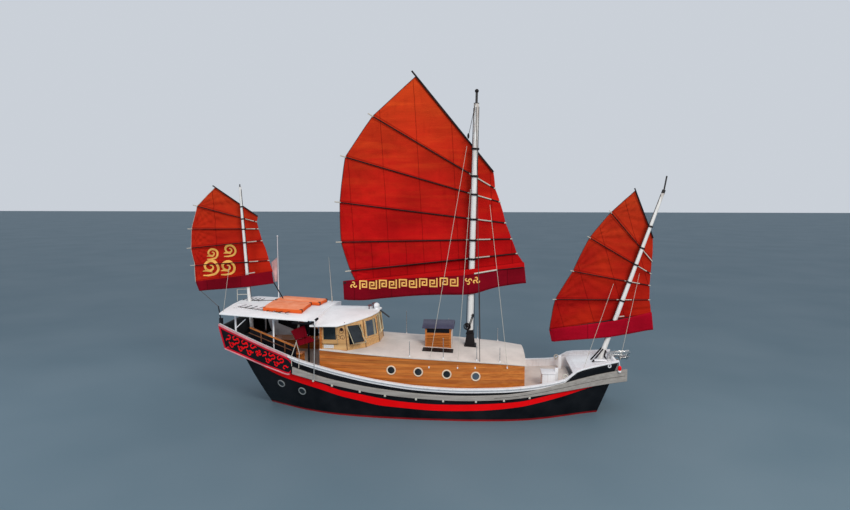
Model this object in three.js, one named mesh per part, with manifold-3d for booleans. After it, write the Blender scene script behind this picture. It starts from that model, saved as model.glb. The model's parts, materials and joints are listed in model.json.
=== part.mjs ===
// A three-masted Chinese junk with red battened sails, afloat, 15 m long.
// Millimetres, +X to the bow, +Y to port, +Z up. The origin is on the waterline, on the
// centre plane, near the middle of the length.

import * as THREE from 'three';
import { mergeVertices } from 'three/addons/utils/BufferGeometryUtils.js';
import Module from 'manifold-3d';

const wasm = await Module();
wasm.setup();

// Driving dimensions
const GAP = 0.3;                // between pieces that touch
const BULWARK = 70;             // thickness of the planked bulwark
const CAP_HEIGHT = 60;          // thickness of the cap rail
const DECK_DROP = 300;          // from the top of the cap rail to the side deck
const DECK_THICK = 40;
const POOP_BREAK = -4050;       // step up from the side deck to the poop deck
const FOREDECK_BREAK = 5300;    // step up from the bow well to the foredeck
const TRANSOM_TOP = 2300;       // the poop is open aft above this
const TRANSOM_THICK = 100;
const STEM_THICK = 90;
const WIDE = 3000;              // half breadth of a cutting block, beyond the whole boat
const TALL = 4600;              // top of a cutting block, above both roofs
const STERN_RAKE = { x: -6230, slope: -0.339 };    // flat transom: x at the waterline, dx/dz
const BOW_RAKE = { x: 6240, slope: 0.351 };        // flat bow: x at the waterline, dx/dz

// Hull sections: x, half breadth at the waterline, half breadth at the top, top of the cap
// rail (the sheer), and the depth of the round bottom on the centre plane
const STATIONS = [
  { x: -8000, water: 250, top: 1620, sheer: 3350, bottom: 500 },
  { x: -7000, water: 350, top: 1730, sheer: 2930, bottom: 200 },
  { x: -6230, water: 640, top: 1830, sheer: 2630, bottom: -40 },
  { x: -5500, water: 1020, top: 1910, sheer: 2360, bottom: -230 },
  { x: -4700, water: 1400, top: 1990, sheer: 2085, bottom: -420 },
  { x: -3900, water: 1680, top: 2060, sheer: 1880, bottom: -570 },
  { x: -3150, water: 1860, top: 2110, sheer: 1710, bottom: -690 },
  { x: -1700, water: 2010, top: 2160, sheer: 1445, bottom: -810 },
  { x: -250, water: 2060, top: 2170, sheer: 1280, bottom: -850 },
  { x: 1200, water: 2040, top: 2130, sheer: 1220, bottom: -830 },
  { x: 2600, water: 1920, top: 2000, sheer: 1235, bottom: -750 },
  { x: 3400, water: 1780, top: 1880, sheer: 1275, bottom: -660 },
  { x: 4100, water: 1560, top: 1740, sheer: 1345, bottom: -540 },
  { x: 4900, water: 1210, top: 1510, sheer: 1470, bottom: -370 },
  { x: 5450, water: 940, top: 1310, sheer: 1800, bottom: -240 },
  { x: 6300, water: 590, top: 990, sheer: 1940, bottom: -60 },
  { x: 7100, water: 350, top: 760, sheer: 2060, bottom: 300 },
];
const BELOW = [0, 22, 45, 67, 90];      // degrees round the bottom, from the centre to the waterline
const ABOVE = [0.35, 0.7, 1];           // share of the height from the waterline to the top

const colours = {
  hull_black: 0x14171a, cap_white: 0xe9e6df, wale_grey: 0x9b978f,
  varnish: 0xb5692c, deck_cream: 0xd8cfc4, roof_white: 0xe4e4e6, float_orange: 0xe0703c,
  lid_slate: 0x3a3f4d, spar_white: 0xe6e6e2, spar_black: 0x1b1a1c, sail_red: 0xc02a18,
  steel: 0x8d8f91, bronze: 0x9a7440, bottom_red: 0x7a2420,
};
const finishes = {
  hull_black: [0.35, 0], cap_white: [0.45, 0], wale_grey: [0.7, 0],
  varnish: [0.3, 0], deck_cream: [0.8, 0], roof_white: [0.55, 0], float_orange: [0.6, 0],
  lid_slate: [0.5, 0], spar_white: [0.35, 0], spar_black: [0.5, 0], sail_red: [0.9, 0],
  steel: [0.3, 1], bronze: [0.35, 1], bottom_red: [0.7, 0],
};

const junk = new THREE.Group();

function addPiece(name, geometry, slot) {
  const [roughness, metalness] = finishes[slot];
  const material = new THREE.MeshStandardMaterial({ color: colours[slot], roughness, metalness });
  const mesh = new THREE.Mesh(geometry, material);
  mesh.name = name;
  junk.add(mesh);
}

// Solids: join, cut and common work on closed geometries
function solid(geometry) {
  const bare = geometry.clone();
  bare.deleteAttribute('normal');
  bare.deleteAttribute('uv');
  const welded = mergeVertices(bare, 1e-3);
  return new wasm.Manifold(new wasm.Mesh({
    numProp: 3,
    vertProperties: Float32Array.from(welded.attributes.position.array),
    triVerts: Uint32Array.from(welded.index.array),
  }));
}

function geometryOf(manifold) {
  const mesh = manifold.getMesh();
  const geometry = new THREE.BufferGeometry();
  const positions = Float32Array.from(mesh.vertProperties);
  geometry.setAttribute('position', new THREE.BufferAttribute(positions, 3));
  geometry.setIndex(new THREE.BufferAttribute(Uint32Array.from(mesh.triVerts), 1));
  return geometry;
}

function cut(body, ...tools) {
  return geometryOf(tools.reduce((left, tool) => left.subtract(solid(tool)), solid(body)));
}
function join(first, ...others) {
  return geometryOf(others.reduce((left, body) => left.add(solid(body)), solid(first)));
}
function common(body, other) {
  return geometryOf(solid(body).intersect(solid(other)));
}

// A closed skin through rings of points [x, y, z] with the same count, capped at both ends
function loft(rings) {
  const count = rings[0].length;
  const positions = rings.flat(2);
  const index = [];
  for (let ring = 0; ring < rings.length - 1; ring += 1) {
    for (let i = 0; i < count; i += 1) {
      const a = ring * count + i;
      const b = ring * count + (i + 1) % count;
      index.push(a, b, b + count, a, b + count, a + count);
    }
  }
  const last = (rings.length - 1) * count;
  for (const triangle of capTriangles(rings[0])) index.push(triangle[0], triangle[2], triangle[1]);
  for (const triangle of capTriangles(rings.at(-1))) index.push(...triangle.map((i) => i + last));
  const geometry = new THREE.BufferGeometry();
  geometry.setAttribute('position', new THREE.Float32BufferAttribute(positions, 3));
  geometry.setIndex(index);
  return outward(geometry);
}

// Triangles that close a flat ring, turned the way the ring runs
function capTriangles(ring) {
  const points = ring.map((p) => new THREE.Vector3(...p));
  const normal = new THREE.Vector3();
  points.forEach((p, i) => normal.add(p.clone().cross(points[(i + 1) % points.length])));
  normal.normalize();
  const across = Math.abs(normal.z) < 0.9 ? new THREE.Vector3(0, 0, 1) : new THREE.Vector3(1, 0, 0);
  const u = across.clone().cross(normal).normalize();
  const v = normal.clone().cross(u);
  const flat = points.map((p) => new THREE.Vector2(p.dot(u), p.dot(v)));
  return THREE.ShapeUtils.triangulateShape(flat, []);
}

function outward(geometry) {
  const p = geometry.attributes.position;
  const index = geometry.index.array;
  const [a, b, c] = [new THREE.Vector3(), new THREE.Vector3(), new THREE.Vector3()];
  let volume = 0;
  for (let i = 0; i < index.length; i += 3) {
    a.fromBufferAttribute(p, index[i]);
    b.fromBufferAttribute(p, index[i + 1]);
    c.fromBufferAttribute(p, index[i + 2]);
    volume += a.dot(b.cross(c));
  }
  if (volume < 0) {
    for (let i = 0; i < index.length; i += 3) {
      [index[i + 1], index[i + 2]] = [index[i + 2], index[i + 1]];
    }
  }
  return geometry;
}

function box(lowX, highX, lowY, highY, lowZ, highZ) {
  return new THREE.BoxGeometry(highX - lowX, highY - lowY, highZ - lowZ)
    .translate((lowX + highX) / 2, (lowY + highY) / 2, (lowZ + highZ) / 2);
}

// A round bar from one point to another, with its radius at each end; roll turns its sides
function bar(start, end, startRadius, endRadius = startRadius, sides = 12, roll = 0) {
  const from = new THREE.Vector3(...start);
  const to = new THREE.Vector3(...end);
  const axis = to.clone().sub(from);
  const length = axis.length();
  const geometry = new THREE.CylinderGeometry(endRadius, startRadius, length, sides, 1, false, roll);
  const upright = new THREE.Vector3(0, 1, 0);
  geometry.applyQuaternion(new THREE.Quaternion().setFromUnitVectors(upright, axis.normalize()));
  const middle = from.add(to).multiplyScalar(0.5);
  return geometry.translate(middle.x, middle.y, middle.z);
}

// A flat shape in the XZ plane given by [x, z] corners, extruded from lowY to highY
function slab(corners, lowY, highY) {
  const low = corners.map(([x, z]) => [x, lowY, z]);
  const high = corners.map(([x, z]) => [x, highY, z]);
  return loft([low, high]);
}

// A value of a table at any x, on straight lines between its rows and past its ends
function tableAt(table, key, x) {
  const found = table.findIndex((row) => row.x >= x);
  const after = found < 0 ? table.length - 1 : Math.max(found, 1);
  const [a, b] = [table[after - 1], table[after]];
  return THREE.MathUtils.lerp(a[key], b[key], (x - a.x) / (b.x - a.x));
}
const hullAt = (key, x) => tableAt(STATIONS, key, x);

// Half a hull section at x as [y, z] from the centre line up, grown outwards by a margin
const BILGE = 0.75;             // power that rounds the bottom
const FLARE = 1.6;              // power that curves the topsides out
function halfSection(x, margin = 0) {
  const [water, top, sheer, bottom] = ['water', 'top', 'sheer', 'bottom'].map((key) => hullAt(key, x));
  const rim = sheer - CAP_HEIGHT;
  const low = Math.min(bottom, 0);
  const under = BELOW.map((degrees) => {
    const angle = THREE.MathUtils.degToRad(degrees);
    return [water * Math.sin(angle) ** BILGE, low * Math.cos(angle) ** BILGE];
  });
  const over = ABOVE.map((share) => [water + (top - water) * (1 - (1 - share) ** FLARE), rim * share]);
  return [...under, ...over].map(([y, z], i) => [y + (i ? margin : 0), z - (i ? 0 : margin)]);
}

// The hull's outer skin as one full solid, trimmed by the raked bow and transom
function hullBody(margin = 0) {
  const rings = STATIONS.map(({ x }) => {
    const half = halfSection(x, margin);
    const port = half.map(([y, z]) => [x, y, z]);
    const starboard = half.slice(1).reverse().map(([y, z]) => [x, -y, z]);
    return [...port, ...starboard];
  });
  return cut(loft(rings), rakeTrim(STERN_RAKE, -1, margin), rakeTrim(BOW_RAKE, 1, margin));
}

// Everything beyond a raked end, side -1 for the stern and 1 for the bow
function rakeTrim({ x, slope }, side, margin = 0) {
  const [low, high] = [-2000, TALL];
  const edge = (z) => x + slope * z + side * margin;
  const far = side * 10500;
  return slab([[edge(low), low], [edge(high), high], [far, high], [far, low]], -WIDE, WIDE);
}
const shifted = (rake, by) => ({ ...rake, x: rake.x + by });

// The x of every section between two ends, and the ends themselves
function xsBetween(low, high) {
  const between = STATIONS.map((station) => station.x).filter((x) => x > low + 1 && x < high - 1);
  return [low, ...between, high];
}

// Everything below a height that varies with x, right across the boat
function belowOf(fromX, toX, top) {
  return loft(xsBetween(fromX, toX).map((x) => {
    const z = top(x) + GAP;
    return [[x, -WIDE, 0], [x, WIDE, 0], [x, WIDE, z], [x, -WIDE, z]];
  }));
}

// The hull's half breadth at a height above the waterline
function breadthAt(x, z) {
  const section = halfSection(x).filter(([, height]) => height >= 0);
  const after = Math.min(Math.max(section.findIndex(([, height]) => height >= z), 1), section.length - 1);
  const [[y0, z0], [y1, z1]] = [section[after - 1], section[after]];
  return z >= z1 ? y1 : THREE.MathUtils.lerp(y0, y1, (z - z0) / (z1 - z0));
}

// A deck slab between the bulwarks from one x to another; top gives its height at x
function deckSlab(fromX, toX, top) {
  return loft(xsBetween(fromX, toX).map((x) => {
    const [low, high] = [top(x) - DECK_THICK, top(x)];
    const half = breadthAt(x, low - GAP) - BULWARK - GAP;
    return [[x, -half, low], [x, half, low], [x, half, high], [x, -half, high]];
  }));
}

// The open space above a deck, between the bulwarks
function deckWell(fromX, toX, floor) {
  return loft(xsBetween(fromX, toX).map((x) => {
    const half = breadthAt(x, floor(x)) - BULWARK;
    const rim = hullAt('top', x) - BULWARK;
    const [low, edge] = [floor(x), hullAt('sheer', x) - CAP_HEIGHT];
    const port = [[x, half, low], [x, rim, edge], [x, rim, TALL]];
    const starboard = port.toReversed().map(([, y, z]) => [x, -y, z]);
    return [...port, ...starboard];
  }));
}

// Deck heights
const WELL = { x: 4900, rise: 0.1 };     // forward of here the deck no longer follows the sheer
const POOP_DECK = { aft: -7000, high: 1760, low: 1640 };
const FOREDECK_DROP = 130;
function sideDeckTop(x) {
  const sheer = hullAt('sheer', Math.min(x, WELL.x));
  return sheer - DECK_DROP + Math.max(x - WELL.x, 0) * WELL.rise;
}
function poopDeckTop(x) {
  return THREE.MathUtils.mapLinear(x, POOP_DECK.aft, POOP_BREAK, POOP_DECK.high, POOP_DECK.low);
}
const foredeckTop = (x) => hullAt('sheer', x) - FOREDECK_DROP;
const under = (top) => (x) => top(x) - DECK_THICK - GAP;

// Saloon: the open space below the deckhouse
const SALOON = { low: -3850, high: 3300, half: 1300, floor: 350 };
const saloonWell = box(SALOON.low, SALOON.high, -SALOON.half, SALOON.half, SALOON.floor, TALL);

// Keel, heel and running gear
const KEEL_HALF = 90;
const RUDDER_X = -5750;
const SHAFT_Z = -800;
const KEEL_AFT = -5250;
const KEEL_OUTLINE = [[5000, -200], [4750, -560], [4300, -960], [3600, -1080], [-5150, -1300],
  [-5870, -1300], [-5870, -1180], [KEEL_AFT, -1180], [KEEL_AFT, -150]];
const STOCK_RADIUS = 40;
const STOCK_TOP = 200;
const SHAFT_RADIUS = 22;
const SHAFT_SEAT = 120;         // how far the shaft runs into the keel
const BORE_CLEAR = 0.4;
const BORE_SIDES = 24;

// The poop's open end, the stem's inside and the transom's inside
const POOP_MOUTH = { aft: -8000, fore: -6500 };
const [AFT_END, FORE_END] = [-7600, 7100];
const transomInside = shifted(STERN_RAKE, TRANSOM_THICK);
const stemInside = shifted(BOW_RAKE, -STEM_THICK);

function makeHull() {
  const poopWell = cut(deckWell(AFT_END, POOP_BREAK, under(poopDeckTop)), rakeTrim(transomInside, -1));
  const poopMouth = deckWell(POOP_MOUTH.aft, POOP_MOUTH.fore, () => TRANSOM_TOP);
  const mainWell = deckWell(POOP_BREAK, FOREDECK_BREAK, under(sideDeckTop));
  const foreWell = cut(deckWell(FOREDECK_BREAK, FORE_END, under(foredeckTop)), rakeTrim(stemInside, 1));
  const keel = slab(KEEL_OUTLINE, -KEEL_HALF, KEEL_HALF);
  const [stock, shaft] = [STOCK_RADIUS + BORE_CLEAR, SHAFT_RADIUS + BORE_CLEAR];
  const stockBore = bar([RUDDER_X, 0, -400], [RUDDER_X, 0, STOCK_TOP + 60], stock, stock, BORE_SIDES);
  const shaftBore = bar([KEEL_AFT - 50, 0, SHAFT_Z], [KEEL_AFT + SHAFT_SEAT + 30, 0, SHAFT_Z],
    shaft, shaft, BORE_SIDES);
  const wells = [poopWell, poopMouth, mainWell, foreWell, saloonWell];
  return cut(join(hullBody(), keel), ...wells, stockBore, shaftBore);
}

addPiece('hull', makeHull(), 'hull_black');

// Decks
const mainSlab = deckSlab(POOP_BREAK + GAP, FOREDECK_BREAK - GAP, sideDeckTop);
const poopSlab = deckSlab(AFT_END, POOP_BREAK - GAP, poopDeckTop);
const foreSlab = deckSlab(FOREDECK_BREAK + GAP, FORE_END, foredeckTop);
addPiece('poop_deck', cut(poopSlab, rakeTrim(shifted(transomInside, GAP), -1)), 'deck_cream');
addPiece('foredeck', cut(foreSlab, rakeTrim(shifted(stemInside, -GAP), 1)), 'cap_white');

// A strip along the hull's side: low and high give its edges at x, proud its reach outside
function sideStrip(xs, inside, proud, low, high, side) {
  return loft(xs.map((x) => {
    const half = hullAt('top', x);
    const [inner, outer] = [side * (half - inside), side * (half + proud)];
    return [[x, inner, low(x)], [x, outer, low(x)], [x, outer, high(x)], [x, inner, high(x)]];
  }));
}

const hullCutter = hullBody(GAP);
const SIDES = [['port', 1], ['starboard', -1]];

// Grey rubbing wales, which run past the flat bow as two wings
const WALE = { aft: -4950, wing: 7280, inside: 350, proud: 60 };
const WALE_LINES = [
  { x: -4950, top: 1800, low: 1540 }, { x: -3900, top: 1510, low: 1310 },
  { x: -3150, top: 1360, low: 1170 }, { x: -1700, top: 1150, low: 950 },
  { x: -250, top: 1020, low: 835 }, { x: 1200, top: 970, low: 785 }, { x: 2600, top: 1000, low: 815 },
  { x: 3400, top: 1070, low: 875 }, { x: 4100, top: 1190, low: 960 }, { x: 4900, top: 1350, low: 1045 },
  { x: 6300, top: 1575, low: 1165 }, { x: 7280, top: 1690, low: 1245 },
];
const waleTop = (x) => tableAt(WALE_LINES, 'top', x);
const waleLow = (x) => tableAt(WALE_LINES, 'low', x);
for (const [name, side] of SIDES) {
  const xs = [...xsBetween(WALE.aft, FORE_END), WALE.wing];
  const strip = sideStrip(xs, WALE.inside, WALE.proud, waleLow, waleTop, side);
  addPiece(`wale_${name}`, cut(strip, hullCutter), 'wale_grey');
}

// The space between the two stern boards, with a margin to each
function betweenBoards(margin) {
  return loft([-8200, -7000, -6550].map((x) => {
    const reach = hullAt('top', x) - margin;
    return [[x, -reach, 0], [x, reach, 0], [x, reach, TALL], [x, -reach, TALL]];
  }));
}

// Black boards with a red border on the stern quarters, reaching past the transom
const BOARD = [
  { x: -5000, low: 1640, high: 1990 }, { x: -5080, low: 1550, high: 2110 },
  { x: -5500, low: 1660, high: 2290 }, { x: -6230, low: 1890, high: 2560 },
  { x: -7000, low: 2160, high: 2860 },
];
const BOARD_END = { x: -7700, lowX: -7640, low: 2390, highX: -7850, high: 3215 };
const BOARD_THICK = 60;
const BOARD_DEPTH = 420;        // how far in the board is trimmed from

function quarterBoard(side) {
  const ring = (half, lowX, low, highX, high) => {
    const [inner, outer] = [side * (half - BOARD_DEPTH), side * (half + BOARD_THICK)];
    return [[lowX, inner, low], [lowX, outer, low], [highX, outer, high], [highX, inner, high]];
  };
  const rings = BOARD.map(({ x, low, high }) => ring(hullAt('top', x), x, low, x, high));
  const { x, lowX, low, highX, high } = BOARD_END;
  rings.push(ring(hullAt('top', x), lowX, low, highX, high));
  return cut(loft(rings), hullCutter, betweenBoards(0));
}
for (const [name, side] of SIDES) addPiece(`quarter_board_${name}`, quarterBoard(side), 'hull_black');

// White cap rails on the bulwarks and on the stern boards
const CAP = { inside: 95, proud: 75, aft: -7845 };
for (const [name, side] of SIDES) {
  const low = (x) => hullAt('sheer', x) - CAP_HEIGHT + GAP;
  const high = (x) => hullAt('sheer', x);
  const rail = sideStrip(xsBetween(CAP.aft, FORE_END), CAP.inside, CAP.proud, low, high, side);
  addPiece(`cap_rail_${name}`, cut(rail, rakeTrim(BOW_RAKE, 1)), 'cap_white');
}

// Stern gallery: a floor and a raked panel between the two stern boards, behind the transom,
// with a black horn at each end of the panel
const GALLERY = [[-6900, 2150], [-7640, 2400], [-7845, 3190], [-7790, 3190], [-7600, 2465], [-6900, 2215]];
const HORN = { lowX: -7890, highX: -7765, inner: 1440, outer: 1535, low: 2950, high: 3470 };
function makeGallery() {
  const floorAndPanel = cut(common(slab(GALLERY, -WIDE, WIDE), betweenBoards(GAP)), hullCutter);
  const horns = SIDES.map(([, side]) => {
    const edges = [side * HORN.inner, side * HORN.outer].sort((a, b) => a - b);
    return box(HORN.lowX, HORN.highX, ...edges, HORN.low, HORN.high);
  });
  return join(floorAndPanel, ...horns);
}
addPiece('stern_gallery', makeGallery(), 'hull_black');

// Deckhouse: x, half breadth of its sides, height of the roof's edge
const TRUNK = [
  { x: -4000, half: 1720, edge: 2390 }, { x: -2900, half: 1790, edge: 2320 },
  { x: -1000, half: 1830, edge: 2200 }, { x: 1000, half: 1810, edge: 2120 },
  { x: 2600, half: 1660, edge: 2020 }, { x: 3600, half: 1480, edge: 1915 },
];
const TRUNK_FRONT = 3500;
const TRUNK_AFT = -4000;
const WALL = 45;
const CROWN = 150;              // rise of the coachroof to its middle
const ROOF_THICK = 50;
const CAMBER_STEPS = [-1, -0.66, -0.33, 0, 0.33, 0.66, 1];

// Points across a cambered roof at x; half is its half breadth there, edge its height at the side
function camber(x, half, edge, crown) {
  return CAMBER_STEPS.map((t) => [x, t * half, edge + crown * (1 - t * t)]);
}

// A cambered roof from low to high above its edge; with a flat low or high, a space that is
// level at that height
function camberedBody(rows, { low, high, flatLow, flatHigh, crown }) {
  return loft(rows.map(({ x, half, edge }) => {
    const level = (z) => [[x, -half, z], [x, half, z]];
    const bottom = flatLow === undefined ? camber(x, half, edge + low, crown) : level(flatLow);
    const top = flatHigh === undefined ? camber(x, half, edge + high, crown) : level(flatHigh);
    return [...bottom, ...top.reverse()];
  }));
}

const trunkXs = [...new Set([...xsBetween(TRUNK_AFT, TRUNK_FRONT), ...TRUNK.map((row) => row.x)])]
  .filter((x) => x <= TRUNK_FRONT).sort((a, b) => a - b);
function trunkRow(x, grow = 0) {
  return { x, half: tableAt(TRUNK, 'half', x) + grow, edge: tableAt(TRUNK, 'edge', x) };
}
const DOOR = { half: 350, low: 1680, high: 3290, thick: 40 };
const DOOR_CLEAR = 6;
const doorway = box(TRUNK_AFT - 300, TRUNK_AFT + 120, -DOOR.half, DOOR.half, DOOR.low, DOOR.high);
const PORTHOLES = [{ x: -1320, z: 1740 }, { x: -330, z: 1700 }, { x: 700, z: 1640 }, { x: 1740, z: 1570 }];
const PORTHOLE_RADIUS = 105;
const PORTHOLE_SIDES = 16;

const insideXs = [TRUNK_AFT + WALL, ...trunkXs.slice(1, -1), TRUNK_FRONT - WALL];
const trunkInside = camberedBody(insideXs.map((x) => trunkRow(x, -WALL)), { flatLow: 0, flatHigh: TALL });
addPiece('main_deck', cut(mainSlab, trunkInside), 'deck_cream');

function makeTrunk() {
  const outer = loft(trunkXs.map((x) => {
    const { half, edge } = trunkRow(x);
    const floor = sideDeckTop(x) + GAP;
    return [[x, -half, floor], [x, half, floor], ...camber(x, half, edge, CROWN).reverse()];
  }));
  const holes = PORTHOLES.map(({ x, z }) => bar([x, -WIDE, z], [x, WIDE, z],
    PORTHOLE_RADIUS, PORTHOLE_RADIUS, PORTHOLE_SIDES));
  return cut(outer, trunkInside, doorway, ...holes);
}
addPiece('trunk_cabin', makeTrunk(), 'varnish');

// Masts: foot, head, radii; the truck is the thin top
const MASTS = {
  main: {
    foot: [1443, 0, 356], head: [1670, 0, 11490], low: 150, high: 130, truck: [1679, 0, 11930], tip: 55,
  },
  fore: {
    foot: [6390, 0, 1700], head: [8560, 0, 8260], low: 105, high: 72, truck: [8640, 0, 8770], tip: 28,
  },
  mizzen: {
    foot: [-7205, 0, 2250], head: [-7560, 0, 8390], low: 76, high: 52, truck: [-7572, 0, 8600], tip: 22,
  },
};
const MAST_SIDES = 20;
function mastBody({ foot, head, low, high }, margin = 0) {
  return bar(foot, head, low + margin, high + margin, MAST_SIDES);
}
const wholeMast = (mast) => join(mastBody(mast), bar(mast.head, mast.truck, mast.tip));

// Companion hatch on the coachroof, with a pitched lid that hinges on its port edge
const HATCH = { lowX: -190, highX: 790, lowY: -620, highY: 330, wall: 35, top: 3060 };

// The wheelhouse's plan from its aft corner round the bowed front, at its foot and at its head
const HOUSE_FOOT = { z: 2300, plan: [[-4000, 1690], [-2950, 1690], [-2330, 1250], [-1950, 450]] };
const HOUSE_HEAD = { z: 3750, plan: [[-4000, 1690], [-3080, 1690], [-2500, 1230], [-2130, 440]] };
const closedPlan = (plan) => [...plan, ...plan.slice().reverse().map(([x, y]) => [x, -y])];

function insetPlan(plan, by) {
  const closed = closedPlan(plan);
  return closed.map((point, i) => {
    const before = closed[(i + closed.length - 1) % closed.length];
    const after = closed[(i + 1) % closed.length];
    const along = [before, point, after].map(([x, y]) => new THREE.Vector2(x, y));
    const first = along[1].clone().sub(along[0]).normalize();
    const second = along[2].clone().sub(along[1]).normalize();
    const normals = [first, second].map((d) => new THREE.Vector2(d.y, -d.x));
    const bisector = normals[0].clone().add(normals[1]).normalize();
    const reach = by / bisector.dot(normals[0]);
    return [point[0] + bisector.x * reach, point[1] + bisector.y * reach];
  });
}

const houseRing = ({ z, plan }, by = 0) => insetPlan(plan, by).map(([x, y]) => [x, y, z]);
const housePrism = (by) => loft([houseRing(HOUSE_FOOT, by), houseRing(HOUSE_HEAD, by)]);

// Coachroof, cut out below the wheelhouse, under the hatch and round the mast
const ROOF_EAVE = 35;
const ROOF_FRONT = 3560;
function makeCoachroof() {
  const rows = [...trunkXs.filter((x) => x < TRUNK_FRONT), ROOF_FRONT].map((x) => trunkRow(x, ROOF_EAVE));
  const roof = camberedBody(rows, { low: GAP, high: ROOF_THICK, crown: CROWN });
  const { lowX, highX, lowY, highY, wall } = HATCH;
  const hatchHole = box(lowX + wall, highX - wall, lowY + wall, highY - wall, 0, TALL);
  const houseHole = box(-3850, -2450, -1150, 1150, 0, TALL);
  return cut(roof, hatchHole, houseHole, doorway, mastBody(MASTS.main, GAP));
}
addPiece('coachroof', makeCoachroof(), 'deck_cream');
const roofRows = [-4600, ...trunkXs.slice(1, -1), 3900].map((x) => trunkRow(x, ROOF_EAVE));
const belowCoachroof = camberedBody(roofRows, { flatLow: 0, high: ROOF_THICK + GAP, crown: CROWN });

// Wheelhouse roof: half breadth at each x; its height falls to the sides from the crown
const HOUSE_ROOF = [
  { x: -4300, half: 1950 }, { x: -3300, half: 1920 }, { x: -2900, half: 1660 }, { x: -2500, half: 1290 },
  { x: -2200, half: 900 }, { x: -2020, half: 420 },
];
const HOUSE_CROWN = { z: 3640, drop: 290, half: 1950, thick: 55 };
const houseRoofZ = (y) => HOUSE_CROWN.z - HOUSE_CROWN.drop * (y / HOUSE_CROWN.half) ** 2;
function houseRoof(low, high) {
  return loft(HOUSE_ROOF.map(({ x, half }) => {
    const ys = CAMBER_STEPS.map((t) => t * half);
    const across = (rise) => ys.map((y) => [x, y, houseRoofZ(y) + rise]);
    return [...across(low), ...across(high).reverse()];
  }));
}
addPiece('wheelhouse_roof', houseRoof(-HOUSE_CROWN.thick, 0), 'roof_white');

const aboveHouseRoof = houseRoof(-HOUSE_CROWN.thick - GAP, 900);

// A window through one facet of the wheelhouse: shares of the facet's width, and heights
const WINDOW_REACH = 120;       // how far its cutter stands out on either side of the wall
function facetWindow({ facet, from, to, sill, head }) {
  const [low, high] = [closedPlan(HOUSE_FOOT.plan), closedPlan(HOUSE_HEAD.plan)];
  const next = (facet + 1) % low.length;
  const point = (share, z) => {
    const t = (z - HOUSE_FOOT.z) / (HOUSE_HEAD.z - HOUSE_FOOT.z);
    const corner = (i) => [0, 1].map((k) => THREE.MathUtils.lerp(low[i][k], high[i][k], t));
    return [0, 1].map((k) => THREE.MathUtils.lerp(corner(facet)[k], corner(next)[k], share));
  };
  const [a, b] = [point(0, sill), point(1, sill)];
  const normal = new THREE.Vector2(b[1] - a[1], a[0] - b[0]).setLength(WINDOW_REACH);
  const corners = [[from, sill], [to, sill], [to, head], [from, head]];
  return loft([-1, 1].map((side) => corners.map(([share, z]) => {
    const [x, y] = point(share, z);
    return [x + side * normal.x, y + side * normal.y, z];
  })));
}
// Facet, shares of its width, sill and head of each window; facet 7 is the aft wall
const WINDOWS = [
  { facet: 0, from: 0.15, to: 0.62, sill: 2780, head: 3270 },
  { facet: 1, from: 0.14, to: 0.86, sill: 2780, head: 3290 },
  { facet: 2, from: 0.12, to: 0.88, sill: 2790, head: 3370 },
  { facet: 3, from: 0.08, to: 0.46, sill: 2800, head: 3430 },
  { facet: 3, from: 0.54, to: 0.92, sill: 2800, head: 3430 },
  { facet: 4, from: 0.12, to: 0.88, sill: 2790, head: 3370 },
  { facet: 5, from: 0.14, to: 0.86, sill: 2780, head: 3290 },
  { facet: 6, from: 0.38, to: 0.85, sill: 2780, head: 3270 },
];
const houseShell = cut(housePrism(0), housePrism(WALL), aboveHouseRoof, belowCoachroof, doorway);
addPiece('wheelhouse', cut(houseShell, ...WINDOWS.map(facetWindow)), 'varnish');
const door = box(TRUNK_AFT, TRUNK_AFT + DOOR.thick, DOOR_CLEAR - DOOR.half, DOOR.half - GAP,
  DOOR.low + DOOR_CLEAR, DOOR.high - DOOR_CLEAR);
addPiece('wheelhouse_door', door, 'varnish');

// Roof over the poop
const POOP_ROOF = [
  { x: -7700, half: 1930, edge: 3740 }, { x: -6000, half: 2010, edge: 3650 },
  { x: -4330, half: 2040, edge: 3560 },
];
const POOP_CROWN = 140;
const POOP_ROOF_THICK = 60;
const poopRoof = camberedBody(POOP_ROOF, { low: -POOP_ROOF_THICK, high: 0, crown: POOP_CROWN });
addPiece('aft_roof', cut(poopRoof, mastBody(MASTS.mizzen, GAP)), 'roof_white');

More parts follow.
